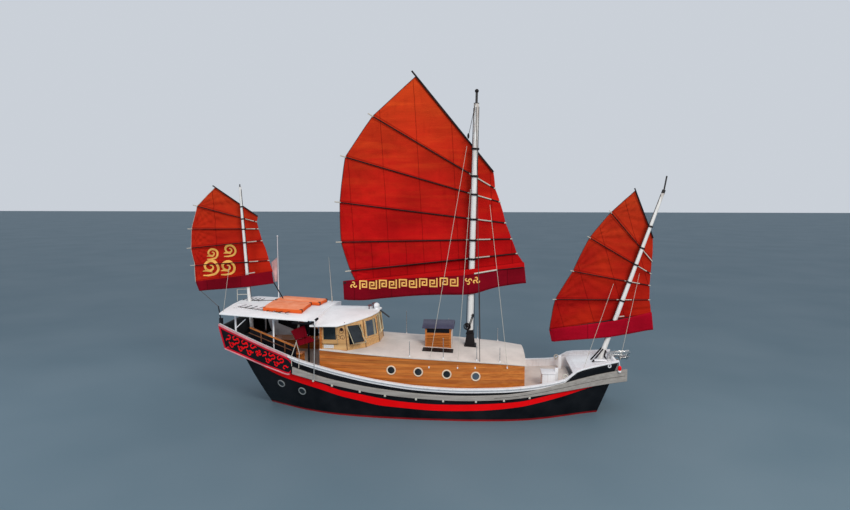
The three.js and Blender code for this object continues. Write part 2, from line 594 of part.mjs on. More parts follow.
// What carries it on each side: a carlin on three posts, and a screen with a wooden handrail
const CARLIN = { y: 1515, wide: 70, aft: -7550, fore: -4350, low: 3400, slopeAft: 3615, slopeFore: 3440 };
const POSTS = { xs: [-7240, -5780, -4450], radius: 34, low: 1400, high: 3700, sides: 10 };
const SCREEN = { aft: -6680, fore: -4940, railAft: 3120, railFore: 2430, below: 150, thick: 40 };
const HANDRAIL = { high: 45, proud: 12 };
const aboveCarlins = camberedBody(POOP_ROOF,
  { low: -POOP_ROOF_THICK - GAP, flatHigh: TALL, crown: POOP_CROWN });
const galleryFill = slab([[-6890, 0], [-7900, 0], [-7900, 2465 + GAP], [-7600, 2465 + GAP],
  [-6900, 2215 + GAP]], -WIDE, WIDE);
function roofFrame(side) {
  const across = (from, to) => [side * from, side * to].sort((a, b) => a - b);
  const [inner, outer] = [CARLIN.y, CARLIN.y + CARLIN.wide];
  const middle = (inner + outer) / 2;
  const carlin = cut(box(CARLIN.aft, CARLIN.fore, ...across(inner, outer), CARLIN.low, TALL),
    slab([[CARLIN.aft - 50, 0], [CARLIN.fore + 50, 0], [CARLIN.fore + 50, CARLIN.slopeFore],
      [CARLIN.aft - 50, CARLIN.slopeAft]], -WIDE, WIDE));
  const posts = POSTS.xs.map((x) => bar([x, side * middle, POSTS.low], [x, side * middle, POSTS.high],
    POSTS.radius, POSTS.radius, POSTS.sides));
  const { aft, fore, railAft, railFore, below, thick } = SCREEN;
  const screen = slab([[aft, railAft], [fore, railFore], [fore, hullAt('sheer', fore) - below],
    [aft, hullAt('sheer', aft) - below]], ...across(middle - thick / 2, middle + thick / 2));
  const rail = slab([[aft, railAft - 5], [fore, railFore - 5], [fore, railFore + HANDRAIL.high],
    [aft, railAft + HANDRAIL.high]], ...across(inner - HANDRAIL.proud, outer + HANDRAIL.proud));
  const poopFill = belowOf(-6900, POOP_BREAK, poopDeckTop);
  return cut(join(carlin, ...posts, screen, rail), aboveCarlins, poopFill, galleryFill);
}
for (const [name, side] of SIDES) addPiece(`roof_frame_${name}`, roofFrame(side), 'spar_white');

// Orange slab floats lashed on the poop roof
const FLOATS = [
  { aft: -6250, fore: -4750, starboard: -1370, port: -20 },
  { aft: -6280, fore: -4450, starboard: 60, port: 1270 },
];
const FLOAT_THICK = 145;
const belowFloats = camberedBody(POOP_ROOF, { flatLow: 0, high: FLOAT_THICK, crown: POOP_CROWN });
const belowRoof = camberedBody(POOP_ROOF, { flatLow: 0, high: GAP, crown: POOP_CROWN });
FLOATS.forEach(({ aft, fore, starboard, port }, i) => {
  const block = box(aft, fore, starboard, port, CARLIN.low, TALL);
  addPiece(`float_${i + 1}`, cut(common(block, belowFloats), belowRoof), 'float_orange');
});

// Companion hatch: four walls on the coachroof, open below, and its pitched lid
const { lowX: hatchAft, highX: hatchFore, lowY: hatchLow, highY: hatchHigh } = HATCH;
const hatchOuter = box(hatchAft, hatchFore, hatchLow, hatchHigh, 2000, HATCH.top);
const hatchInner = box(hatchAft + HATCH.wall, hatchFore - HATCH.wall, hatchLow + HATCH.wall,
  hatchHigh - HATCH.wall, 0, TALL);
addPiece('companion_box', cut(hatchOuter, hatchInner, belowCoachroof), 'varnish');
const LID = { overhang: 110, ridge: 3300, thick: 40 };
const lidOutline = [
  [hatchLow - LID.overhang, HATCH.top + GAP], [hatchHigh + LID.overhang, HATCH.top + GAP],
  [hatchHigh + LID.overhang, HATCH.top + LID.thick], [(hatchLow + hatchHigh) / 2, LID.ridge],
  [hatchLow - LID.overhang, HATCH.top + LID.thick],
];
const lidEnds = [hatchAft - LID.overhang, hatchFore + LID.overhang];
addPiece('hatch_lid', loft(lidEnds.map((x) => lidOutline.map(([y, z]) => [x, y, z]))), 'lid_slate');

// Masts and their feet
const foredeckFill = belowOf(5000, 7300, foredeckTop);
addPiece('main_mast', wholeMast(MASTS.main), 'spar_white');
addPiece('fore_mast', cut(wholeMast(MASTS.fore), foredeckFill), 'spar_white');
addPiece('mizzen_mast', cut(wholeMast(MASTS.mizzen), galleryFill), 'spar_white');
const CHEEK = { thick: 30, clear: 2, step: 130 };
function cheeks(outline, mast, fill) {
  const reach = mast.low + CHEEK.clear;
  const outer = reach + CHEEK.thick;
  const plates = [slab(outline, reach, outer), slab(outline, -outer, -reach)];
  const [xs, zs] = [0, 1].map((k) => outline.map((corner) => corner[k]));
  const foot = Math.min(...zs);
  const step = box(Math.min(...xs), Math.max(...xs), -outer, outer, foot - 200, foot + CHEEK.step);
  return cut(join(...plates, step), fill, mastBody(mast, GAP));
}
const FORE_CHEEKS = [[6150, 1780], [6660, 1780], [6600, 2240], [6500, 2240]];
const MAIN_CHEEKS = [[1280, 2200], [1700, 2200], [1620, 2760], [1360, 2760]];
addPiece('foremast_cheeks', cheeks(FORE_CHEEKS, MASTS.fore, foredeckFill), 'spar_black');
addPiece('mainmast_cheeks', cheeks(MAIN_CHEEKS, MASTS.main, belowCoachroof), 'spar_black');

// Main shrouds from the masthead to the edges of the coachroof
const SHROUD = { top: [1664, 125, 11400], foot: [1885, 1742, 2060], head: 11330, radius: 12, sides: 8 };
const aboveShrouds = box(1000, 2500, -WIDE, WIDE, SHROUD.head, 12000);
for (const [name, side] of SIDES) {
  const [top, foot] = [SHROUD.top, SHROUD.foot].map(([x, y, z]) => [x, side * y, z]);
  const shroud = bar(top, foot, SHROUD.radius, SHROUD.radius, SHROUD.sides);
  const trimmed = cut(shroud, mastBody(MASTS.main, GAP), aboveShrouds, belowCoachroof);
  addPiece(`main_shroud_${name}`, trimmed, 'spar_black');
}

// Square bitts in the bow well
const BITTS = [{ name: 'port', x: 5040, y: 900 }, { name: 'starboard', x: 4700, y: -900 }];
const BITT = { half: 60, top: 1720 };
const wellFill = belowOf(4000, FOREDECK_BREAK - 1, sideDeckTop);
for (const { name, x, y } of BITTS) {
  const post = box(x - BITT.half, x + BITT.half, y - BITT.half, y + BITT.half, 1000, BITT.top);
  addPiece(`bitt_${name}`, cut(post, wellFill), 'cap_white');
}

// Bow roller: two cheeks over the flat bow with a roller, and a plough anchor drawn up in it
const ROLLER = { inner: 38, outer: 50, axle: [7440, 2150], radius: 38, sides: 16 };
const ROLLER_CHEEK = [[6700, 1700], [6790, 1700], [6800, 1995], [7380, 2050], [7520, 2140],
  [7490, 2230], [7330, 2200], [6700, 2120]];
const ROLLER_FOOT = { fore: 6790, aft: 6700, high: 1960 };
const SHANK = { from: [6820, 0, 2160], to: [7505, 0, 2202], radius: 20 };
const FLUKE = [
  [[7465, -24, 2205], [7515, 0, 2215], [7465, 24, 2205], [7440, 0, 2180]],
  [[7330, -150, 1930], [7450, 0, 1840], [7330, 150, 1930], [7350, 0, 1900]],
];
function bowRoller() {
  const { inner, outer, axle: [x, z], radius, sides } = ROLLER;
  const plates = [slab(ROLLER_CHEEK, inner, outer), slab(ROLLER_CHEEK, -outer, -inner)];
  const foot = box(ROLLER_FOOT.aft, ROLLER_FOOT.fore, -outer, outer, 1700, ROLLER_FOOT.high);
  const roller = bar([x, -outer, z], [x, outer, z], radius, radius, sides);
  const anchor = join(bar(SHANK.from, SHANK.to, SHANK.radius), loft(FLUKE));
  return cut(join(...plates, foot, roller, anchor), foredeckFill);
}
addPiece('bow_roller', bowRoller(), 'steel');

// Rudder on its stock, with its heel on the keel's shoe
const RUDDER = [[-30, -1170], [45, -1170], [45, -330], [-60, -300], [-700, -340], [-820, -1090],
  [-780, -1150]].map(([x, z]) => [RUDDER_X + x, z]);
const RUDDER_HALF = 35;
const stock = bar([RUDDER_X, 0, -1174], [RUDDER_X, 0, STOCK_TOP], STOCK_RADIUS, STOCK_RADIUS, BORE_SIDES);
addPiece('rudder', join(slab(RUDDER, -RUDDER_HALF, RUDDER_HALF), stock), 'bottom_red');

// Propeller: a hub on a short shaft, with three twisted blades
const PROP = { x: -5390, aftHub: 34, hub: 48, length: 150, hubSides: 16, blades: 3 };
// Blade sections: radius, chord, pitch angle, thickness
const BLADE = [
  { r: 30, chord: 80, pitch: 60, thick: 22 }, { r: 150, chord: 190, pitch: 40, thick: 14 },
  { r: 230, chord: 180, pitch: 30, thick: 9 }, { r: 280, chord: 70, pitch: 25, thick: 6 },
];
function blade(turn) {
  const rings = BLADE.map(({ r, chord, pitch, thick }) => {
    const angle = THREE.MathUtils.degToRad(pitch);
    const section = [[-0.5, 0], [0, -0.5], [0.5, 0], [0, 0.5]];
    return section.map(([c, t]) => [
      PROP.x + c * chord * Math.cos(angle) * 0.5 - t * thick * Math.sin(angle),
      c * chord * Math.sin(angle) + t * thick * Math.cos(angle), r]);
  });
  return loft(rings).rotateX(turn).translate(0, 0, SHAFT_Z);
}
const [hubAft, hubFore] = [PROP.x - PROP.length / 2, PROP.x + PROP.length / 2];
const hub = bar([hubAft, 0, SHAFT_Z], [hubFore, 0, SHAFT_Z], PROP.aftHub, PROP.hub, PROP.hubSides);
const shaft = bar([PROP.x, 0, SHAFT_Z], [KEEL_AFT + SHAFT_SEAT, 0, SHAFT_Z],
  SHAFT_RADIUS, SHAFT_RADIUS, BORE_SIDES);
const blades = Array.from({ length: PROP.blades }, (_, i) => blade((i * 2 * Math.PI) / PROP.blades));
addPiece('propeller', join(hub, shaft, ...blades), 'bronze');

// Sails. Corners as [x, z] in the sail's plane, which lies to port of its mast
const SAILS = {
  main: {
    mast: 'main', plane: 300, strapHalf: 35,
    yard: [[-790, 12760], [2330, 8950]],
    battens: [[[-2320, 11100], [2400, 8320]], [[-3410, 9550], [2590, 7810]], [[-3650, 7790], [2810, 7010]],
      [[-3620, 6230], [3050, 6400]], [[-3260, 5090], [3260, 5840]]],
    boom: [[-3560, 4600], [3540, 5440]],
    skirt: [[-3530, 3920], [3620, 4780]],
  },
  fore: {
    mast: 'fore', plane: 230, strapHalf: 28,
    yard: [[7560, 8330], [8290, 6480]],
    battens: [[[6730, 7420], [8280, 5610]], [[5970, 6470], [8250, 5130]], [[5380, 5190], [8230, 4680]],
      [[4740, 4090], [8240, 4130]]],
    boom: [[4540, 2880], [8330, 3600]],
    skirt: [[4640, 2440], [8400, 3000]],
  },
  mizzen: {
    mast: 'mizzen', plane: 215, strapHalf: 24,
    yard: [[-8760, 8450], [-6950, 7240]],
    battens: [[[-9460, 7640], [-7010, 7020]], [[-9720, 6720], [-6950, 6740]], [[-9780, 5950], [-6800, 6270]],
      [[-9650, 5250], [-6540, 5480]]],
    boom: [[-9630, 4560], [-6400, 5010]],
    skirt: [[-9500, 4210], [-6340, 4560]],
  },
};
const CLOTH = 12;
const SPAR = { yard: 42, batten: 26, boom: 34 };

// The mast's centre line at a height
function mastAt({ foot, head }, z) {
  const t = (z - foot[2]) / (head[2] - foot[2]);
  return [THREE.MathUtils.lerp(foot[0], head[0], t), 0, z];
}

function mastRadius({ foot, head, low, high }, z) {
  return THREE.MathUtils.mapLinear(z, foot[2], head[2], low, high);
}

// Where a spar given by its two ends crosses the mast
function crossing(mast, [[x0, z0], [x1, z1]]) {
  const slope = (mast.head[0] - mast.foot[0]) / (mast.head[2] - mast.foot[2]);
  const run = (x1 - x0) / (z1 - z0);
  const z = (mast.foot[0] - slope * mast.foot[2] - x0 + run * z0) / (run - slope);
  return mastAt(mast, z);
}

// Batten parrels: at each spar a band round the mast with a short arm out to the spar, and
// the line that holds the bands at their heights
const PARREL = { clear: 0.4, thick: 22, arm: 40, bite: 8, line: 9, lineSides: 6 };
function parrels(mast, crossings, half) {
  const axis = new THREE.Vector3(...mast.head).sub(new THREE.Vector3(...mast.foot)).normalize();
  const tilt = Math.atan2(axis.x, axis.z);
  const along = (at, reach) => new THREE.Vector3(...at).addScaledVector(axis, reach).toArray();
  const halfSide = Math.PI / MAST_SIDES;
  const bandRadius = (z) => (mastRadius(mast, z - half) + PARREL.clear) / Math.cos(halfSide);
  const bands = crossings.map(({ at, face }) => {
    const outer = bandRadius(at[2]) + PARREL.thick;
    const root = outer - PARREL.bite;
    const arm = new THREE.BoxGeometry(2 * PARREL.arm, face - root, 2 * half)
      .translate(0, (face + root) / 2, 0).rotateY(tilt).translate(...at);
    return join(bar(along(at, -half), along(at, half), outer, outer, MAST_SIDES, halfSide), arm);
  });
  const [first, last] = [crossings[0].at, crossings.at(-1).at]
    .map(([x, , z]) => [x, bandRadius(z) + PARREL.thick, z]);
  const line = bar(first, last, PARREL.line, PARREL.line, PARREL.lineSides);
  const bores = crossings.map(({ at }) => {
    const inner = bandRadius(at[2]);
    return bar(along(at, -2 * half), along(at, 2 * half), inner, inner, MAST_SIDES, halfSide);
  });
  return cut(join(...bands, line), ...bores);
}

// An eight-sided spar in the plane y, with flats towards its mast and its cloth
const SPAR_SIDES = 8;
function sparBar([[x0, z0], [x1, z1]], radius, y) {
  const length = Math.hypot(x1 - x0, z1 - z0);
  const [acrossX, acrossZ] = [-(z1 - z0) / length, (x1 - x0) / length];
  const corner = radius / Math.cos(Math.PI / SPAR_SIDES);
  const section = Array.from({ length: SPAR_SIDES }, (_, i) => {
    const angle = ((i + 0.5) * 2 * Math.PI) / SPAR_SIDES;
    return [corner * Math.cos(angle), corner * Math.sin(angle)];
  });
  const ring = (x, z) => section.map(([a, b]) => [x + a * acrossX, y + b, z + a * acrossZ]);
  return loft([ring(x0, z0), ring(x1, z1)]);
}

// The near side of the cloth cover round a boom: it leaves the sail at both ends and passes
// outside the mast
const COVER = { thick: 12, clear: 60, half: 250, below: 50, inset: 30 };
function footCover({ plane, boom, skirt, mast: mastName }) {
  const mast = MASTS[mastName];
  const heightOn = ([[x0, z0], [x1, z1]], x) => THREE.MathUtils.mapLinear(x, x0, x1, z0, z1);
  const middle = crossing(mast, skirt)[0];
  const near = -(mast.low + COVER.clear);
  const aft = Math.max(boom[0][0], skirt[0][0]) + COVER.inset;
  const fore = Math.min(boom[1][0], skirt[1][0]) - COVER.inset;
  const plan = [[aft, plane], [middle - COVER.half, near], [middle + COVER.half, near], [fore, plane]];
  return loft(plan.map(([x, y]) => {
    const [low, high] = [heightOn(skirt, x), heightOn(boom, x) - COVER.below];
    return [[x, y, low], [x, y + COVER.thick, low], [x, y + COVER.thick, high], [x, y, high]];
  }));
}

for (const [name, sail] of Object.entries(SAILS)) {
  const mast = MASTS[sail.mast];
  const leech = [sail.yard[0], ...sail.battens.map((ends) => ends[0]), sail.boom[0], sail.skirt[0]];
  const luff = [sail.skirt[1], sail.boom[1], ...sail.battens.map((ends) => ends[1]).reverse(), sail.yard[1]];
  const cloth = slab([...leech, ...luff], sail.plane, sail.plane + CLOTH);
  addPiece(`${name}_sail`, join(cloth, footCover(sail)), 'sail_red');
  const spars = { boom: sail.boom };
  sail.battens.toReversed().forEach((ends, i) => { spars[`batten_${i + 1}`] = ends; });
  spars.yard = sail.yard;
  const crossings = [];
  for (const [spar, ends] of Object.entries(spars)) {
    const radius = SPAR[spar] ?? SPAR.batten;
    const y = sail.plane - GAP - radius;
    crossings.push({ at: crossing(mast, ends), face: y - radius - GAP });
    addPiece(`${name}_${spar}`, sparBar(ends, radius, y), 'spar_black');
  }
  addPiece(`${name}_parrels`, parrels(mast, crossings, sail.strapHalf), 'spar_white');
}

export default junk;
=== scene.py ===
# %% [markdown]
# # A Chinese junk under sail
# A three-masted junk, 15 m long, with a black carvel hull, a varnished deckhouse and red
# battened sails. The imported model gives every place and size. This script dresses it: smooth
# planking, cloth sails, varnish, rope and paint, each from a shape of its own.

# %% Load the frame
import json
import math

import bmesh
import bpy
from mathutils import Matrix, Vector, noise
from mathutils.bvhtree import BVHTree


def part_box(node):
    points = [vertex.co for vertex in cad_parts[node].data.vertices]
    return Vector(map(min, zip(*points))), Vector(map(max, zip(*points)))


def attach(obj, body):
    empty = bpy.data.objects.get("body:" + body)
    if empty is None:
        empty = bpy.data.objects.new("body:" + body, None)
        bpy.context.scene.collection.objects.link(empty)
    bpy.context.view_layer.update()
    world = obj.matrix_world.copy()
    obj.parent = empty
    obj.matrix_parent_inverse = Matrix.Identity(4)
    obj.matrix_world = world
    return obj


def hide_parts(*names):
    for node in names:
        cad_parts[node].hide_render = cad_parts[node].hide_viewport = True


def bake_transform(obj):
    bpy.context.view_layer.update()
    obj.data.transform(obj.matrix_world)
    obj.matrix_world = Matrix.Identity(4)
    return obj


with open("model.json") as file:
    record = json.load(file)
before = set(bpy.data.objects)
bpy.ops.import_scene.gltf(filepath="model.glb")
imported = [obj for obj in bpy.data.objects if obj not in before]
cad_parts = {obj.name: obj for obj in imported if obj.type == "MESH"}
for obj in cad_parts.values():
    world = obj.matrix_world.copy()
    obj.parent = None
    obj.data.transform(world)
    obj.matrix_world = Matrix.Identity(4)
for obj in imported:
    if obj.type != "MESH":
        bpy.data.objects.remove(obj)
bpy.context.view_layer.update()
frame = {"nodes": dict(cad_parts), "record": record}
nodes = frame["nodes"]

# %% [markdown]
# ## Camera, water level and light
# The boat is seen from starboard, a little above deck height, through a wide lens. The floor
# is at the waterline, so the underwater hull is below it, as it would be in the water. A broad
# soft lamp from ahead of the boat and a bright plain sky give the even light of an evening.

# %% Camera
EYE = (1.945, -22.9, 8.0)
LOOK_DOWN, LOOK_LEFT = math.radians(5.52), math.radians(5.5)
LENS, SENSOR = 25.41, 36.0


def put(name, data):
    """An object in the scene for some data."""
    made = bpy.data.objects.new(name, data)
    bpy.context.collection.objects.link(made)
    return made


camera_data = bpy.data.cameras.new("camera")
camera_data.lens, camera_data.sensor_width = LENS, SENSOR
camera = put("camera", camera_data)
camera.location = EYE
camera.rotation_euler = (math.pi / 2 - LOOK_DOWN, 0, LOOK_LEFT)
bpy.context.scene.camera = camera
bpy.context.scene.view_settings.view_transform = "Standard"
print("camera at", EYE)

# %% Short calls to mix a material
COAT_GLOSS = 0.12


def node(tree, kind, **settings):
    """A shader node with its settings, such as operation, and its unlinked inputs by name."""
    made = tree.nodes.new(kind)
    for key, value in settings.items():
        if hasattr(made, key) and key not in made.inputs:
            setattr(made, key, value)
        else:
            made.inputs[key].default_value = value
    return made


def link(tree, out, into):
    tree.links.new(out, into)


def new_material(name, colour, roughness, metallic=0.0, coat=0.0, sheen=0.0, shine=0.3):
    """A material on the standard shader, and its tree and shader; shine is its specular level."""
    material = bpy.data.materials.new(name)
    material.use_nodes = True
    material.diffuse_color = (*colour, 1)
    shader = material.node_tree.nodes["Principled BSDF"]
    for key, value in {"Base Color": (*colour, 1), "Roughness": roughness, "Metallic": metallic,
                       "Coat Weight": coat, "Coat Roughness": COAT_GLOSS,
                       "Specular IOR Level": shine, "Sheen Weight": sheen}.items():
        shader.inputs[key].default_value = value
    return material, material.node_tree, shader


def place(tree, scale=(1, 1, 1), turn=(0, 0, 0)):
    """Object coordinates, stretched and turned: the socket that a pattern reads."""
    mapping = node(tree, "ShaderNodeMapping", Scale=scale, Rotation=turn)
    link(tree, node(tree, "ShaderNodeTexCoord").outputs["Object"], mapping.inputs["Vector"])
    return mapping.outputs["Vector"]


def axes(tree, vector=None):
    """The X, Y and Z of a direction, or of the point itself."""
    split = node(tree, "ShaderNodeSeparateXYZ")
    link(tree, place(tree) if vector is None else vector, split.inputs["Vector"])
    return split.outputs


def attribute(tree, name):
    return node(tree, "ShaderNodeAttribute", attribute_name=name).outputs["Fac"]


def span(tree, value, start=0.0, end=1.0, low=0.0, high=1.0):
    """A number carried from one range to another and kept inside it."""
    made = node(tree, "ShaderNodeMapRange",
                **{"From Min": start, "From Max": end, "To Min": low, "To Max": high})
    link(tree, value, made.inputs["Value"])
    return made.outputs["Result"]


def speckle(tree, vector, scale, detail=3.0, rough=0.55, low=0.35, high=0.65):
    """A noise stretched to run from 0 to 1 between two of its values."""
    grain = node(tree, "ShaderNodeTexNoise", Scale=scale, Detail=detail, Roughness=rough)
    link(tree, vector, grain.inputs["Vector"])
    return span(tree, grain.outputs["Fac"], low, high)


def feed(tree, value, socket):
    """Gives an input a number, a colour or another node's output."""
    if hasattr(value, "links"):
        link(tree, value, socket)
    else:
        socket.default_value = (*value, 1) if socket.type == "RGBA" else value


def blend(tree, factor, first, second):
    """Two colours mixed by a factor; each is a colour or a socket."""
    mix = node(tree, "ShaderNodeMix", data_type="RGBA")
    amount = next(s for s in mix.inputs if s.type == "VALUE")
    colours = [s for s in mix.inputs if s.type == "RGBA"]
    for value, socket in zip((factor, first, second), (amount, *colours)):
        feed(tree, value, socket)
    return next(s for s in mix.outputs if s.type == "RGBA")


def calc(tree, operation, first, second=0.0):
    """One sum on numbers or sockets."""
    made = node(tree, "ShaderNodeMath", operation=operation)
    for value, socket in zip((first, second), made.inputs):
        feed(tree, value, socket)
    return made.outputs[0]


def times(tree, first, second):
    return calc(tree, "MULTIPLY", first, second)


def between(tree, value, low, high):
    """1 where a number lies between two others, and 0 elsewhere."""
    return times(tree, calc(tree, "GREATER_THAN", value, low), calc(tree, "LESS_THAN", value, high))


def shade(colour, by):
    """A colour made darker or lighter."""
    return [min(c * by, 1) for c in colour]


def cover(tree, shader, tone, gloss=None):
    """Gives a shader its colour and, if it varies, its roughness."""
    link(tree, tone, shader.inputs["Base Color"])
    if gloss is not None:
        link(tree, gloss, shader.inputs["Roughness"])


def emboss(tree, shader, height, distance, strength=1.0, under=None):
    """A bump from a height socket, on top of another bump if there is one."""
    bump = node(tree, "ShaderNodeBump", Strength=strength, Distance=distance)
    link(tree, height, bump.inputs["Height"])
    if under is not None:
        link(tree, under, bump.inputs["Normal"])
    link(tree, bump.outputs["Normal"], shader.inputs["Normal"])
    return bump.outputs["Normal"]


print("material helpers ready")

# %% Floor and light
WATER_HALF = 300.0
LAMPS = [
    # name, place, size, watts, tint
    ("evening", (14, -26, 22), 12, 6400, (1.0, 0.95, 0.88)),
    ("fill", (-24, -16, 10), 16, 1500, (0.92, 0.95, 1.0)),
]
LIT_POINT = (0, 0, 3)
SKY, SKY_STRENGTH = (0.74, 0.79, 0.86, 1), 0.8

floor_shape = bmesh.new()
bmesh.ops.create_grid(floor_shape, x_segments=1, y_segments=1, size=WATER_HALF)
floor_mesh = bpy.data.meshes.new("floor")
floor_shape.to_mesh(floor_mesh)
floor_shape.free()
floor = put("floor", floor_mesh)
floor_paint, tree, shader = new_material("water_level", (0.125, 0.185, 0.225), 0.6, shine=0.1)
cloudy = speckle(tree, place(tree), 0.15, detail=2.0)
cover(tree, shader, blend(tree, cloudy, (0.115, 0.175, 0.215), (0.135, 0.195, 0.235)))
floor.data.materials.append(floor_paint)

for name, at, size, watts, tint in LAMPS:
    data = bpy.data.lights.new(name, "AREA")
    data.shape, data.size, data.energy, data.color = "DISK", size, watts, tint
    lamp = put(name, data)
    lamp.location = at
    lamp.rotation_euler = (Vector(LIT_POINT) - Vector(at)).to_track_quat("-Z", "Y").to_euler()
world = bpy.data.worlds.new("sky")
world.use_nodes = True
for key, value in {"Color": SKY, "Strength": SKY_STRENGTH}.items():
    world.node_tree.nodes["Background"].inputs[key].default_value = value
bpy.context.scene.world = world
print("lamps and floor placed")

# %% [markdown]
# ## Finishes
# Paint on a working boat is never one even colour: it chalks, it streaks where rain runs, and
# brush marks show in low light. Every finish below is a base colour with a slow drift of tone,
# a fine speckle in the gloss, and a small bump, all read from Object coordinates in metres.

# %% Paint
DIRT = (0.25, 0.22, 0.18)


def paint(name, colour, roughness, drift=0.12, streak=0.0, shine=0.3):
    """Brushed paint: a slow drift of tone, streaks down its sides, and brush marks."""
    material, tree, shader = new_material(name, colour, roughness, shine=shine)
    slow = speckle(tree, place(tree), 1.7, detail=4.0)
    tone = blend(tree, slow, shade(colour, 1 - drift), shade(colour, 1 + drift))
    if streak:
        runs = speckle(tree, place(tree, (9, 9, 0.7)), 1.6, detail=5.0, low=0.52, high=0.8)
        tone = blend(tree, times(tree, runs, streak), tone, DIRT)
    fine = speckle(tree, place(tree, (1, 1, 2)), 24.0, detail=4.0)
    gloss = span(tree, fine, low=roughness * 0.8, high=min(roughness * 1.25, 1))
    cover(tree, shader, tone, gloss)
    emboss(tree, shader, fine, 0.0012, 0.35)
    return material


# %% Varnished and bare timber
def timber(name, light, dark, roughness, plank=0.11, along="x", coat=0.0, seam=0.6):
    """Boards: grain stretched along them, a tone for each board, and a dark seam between."""
    material, tree, shader = new_material(name, light, roughness, coat=coat)
    stretch = {"x": (0.35, 7, 7), "z": (7, 7, 0.35)}[along]
    grain = speckle(tree, place(tree, stretch), 2.4, detail=7.0, rough=0.62, low=0.3, high=0.7)
    at = axes(tree)
    across = at["Z"] if along == "x" else calc(tree, "ADD", at["X"], times(tree, at["Y"], 0.8))
    count = calc(tree, "DIVIDE", across, plank)
    board = node(tree, "ShaderNodeTexWhiteNoise", noise_dimensions="1D")
    link(tree, calc(tree, "FLOOR", count), board.inputs["W"])
    lit = node(tree, "ShaderNodeHueSaturation")
    link(tree, blend(tree, grain, dark, light), lit.inputs["Color"])
    link(tree, span(tree, board.outputs["Value"], low=0.72, high=1.12), lit.inputs["Value"])
    edge = calc(tree, "ABSOLUTE", calc(tree, "SUBTRACT", calc(tree, "FRACT", count), 0.5))
    joint = span(tree, edge, 0.47, 0.495)
    cover(tree, shader, blend(tree, times(tree, joint, seam), lit.outputs["Color"], shade(dark, 0.12)))
    first = emboss(tree, shader, grain, 0.0015, 0.35)
    emboss(tree, shader, calc(tree, "SUBTRACT", 1.0, joint), 0.003, 0.6, under=first)
    return material


# %% Metal, rope and glass
def metal(name, colour, roughness, tarnish):
    """Bright metal with duller spots of tarnish."""
    material, tree, shader = new_material(name, colour, roughness, metallic=1.0)
    spots = speckle(tree, place(tree), 30.0, detail=5.0, low=0.45, high=0.75)
    cover(tree, shader, blend(tree, spots, colour, tarnish),
          span(tree, spots, low=roughness, high=roughness + 0.3))
    return material


def laid_rope(name, light, dark):
    """Three-strand rope: slanting strands all round, with painted shade darkening the hollows between them.
    """
    material, tree, shader = new_material(name, light, 0.85, sheen=0.2)
    strands = node(tree, "ShaderNodeTexWave", Scale=18.0, Distortion=1.5, Detail=1.0)
    link(tree, place(tree, (1, 1, 1.3), (0.5, 0.6, 0.2)), strands.inputs["Vector"])
    tone = blend(tree, strands.outputs["Fac"], dark, light)
    fuzz = speckle(tree, place(tree), 90.0)
    cover(tree, shader, blend(tree, times(tree, fuzz, 0.3), tone, dark))
    emboss(tree, shader, strands.outputs["Fac"], 0.003, 0.6)
    return material


def dark_glass(name, colour, dust):
    """Glass with a dark room behind it, under a thin film of dust."""
    material, tree, shader = new_material(name, colour, 0.06, coat=0.15, shine=0.35)
    film = speckle(tree, place(tree), 2.2, detail=5.0, low=0.4, high=0.9)
    cover(tree, shader, blend(tree, times(tree, film, 0.5), colour, dust),
          span(tree, film, low=0.05, high=0.22))
    return material


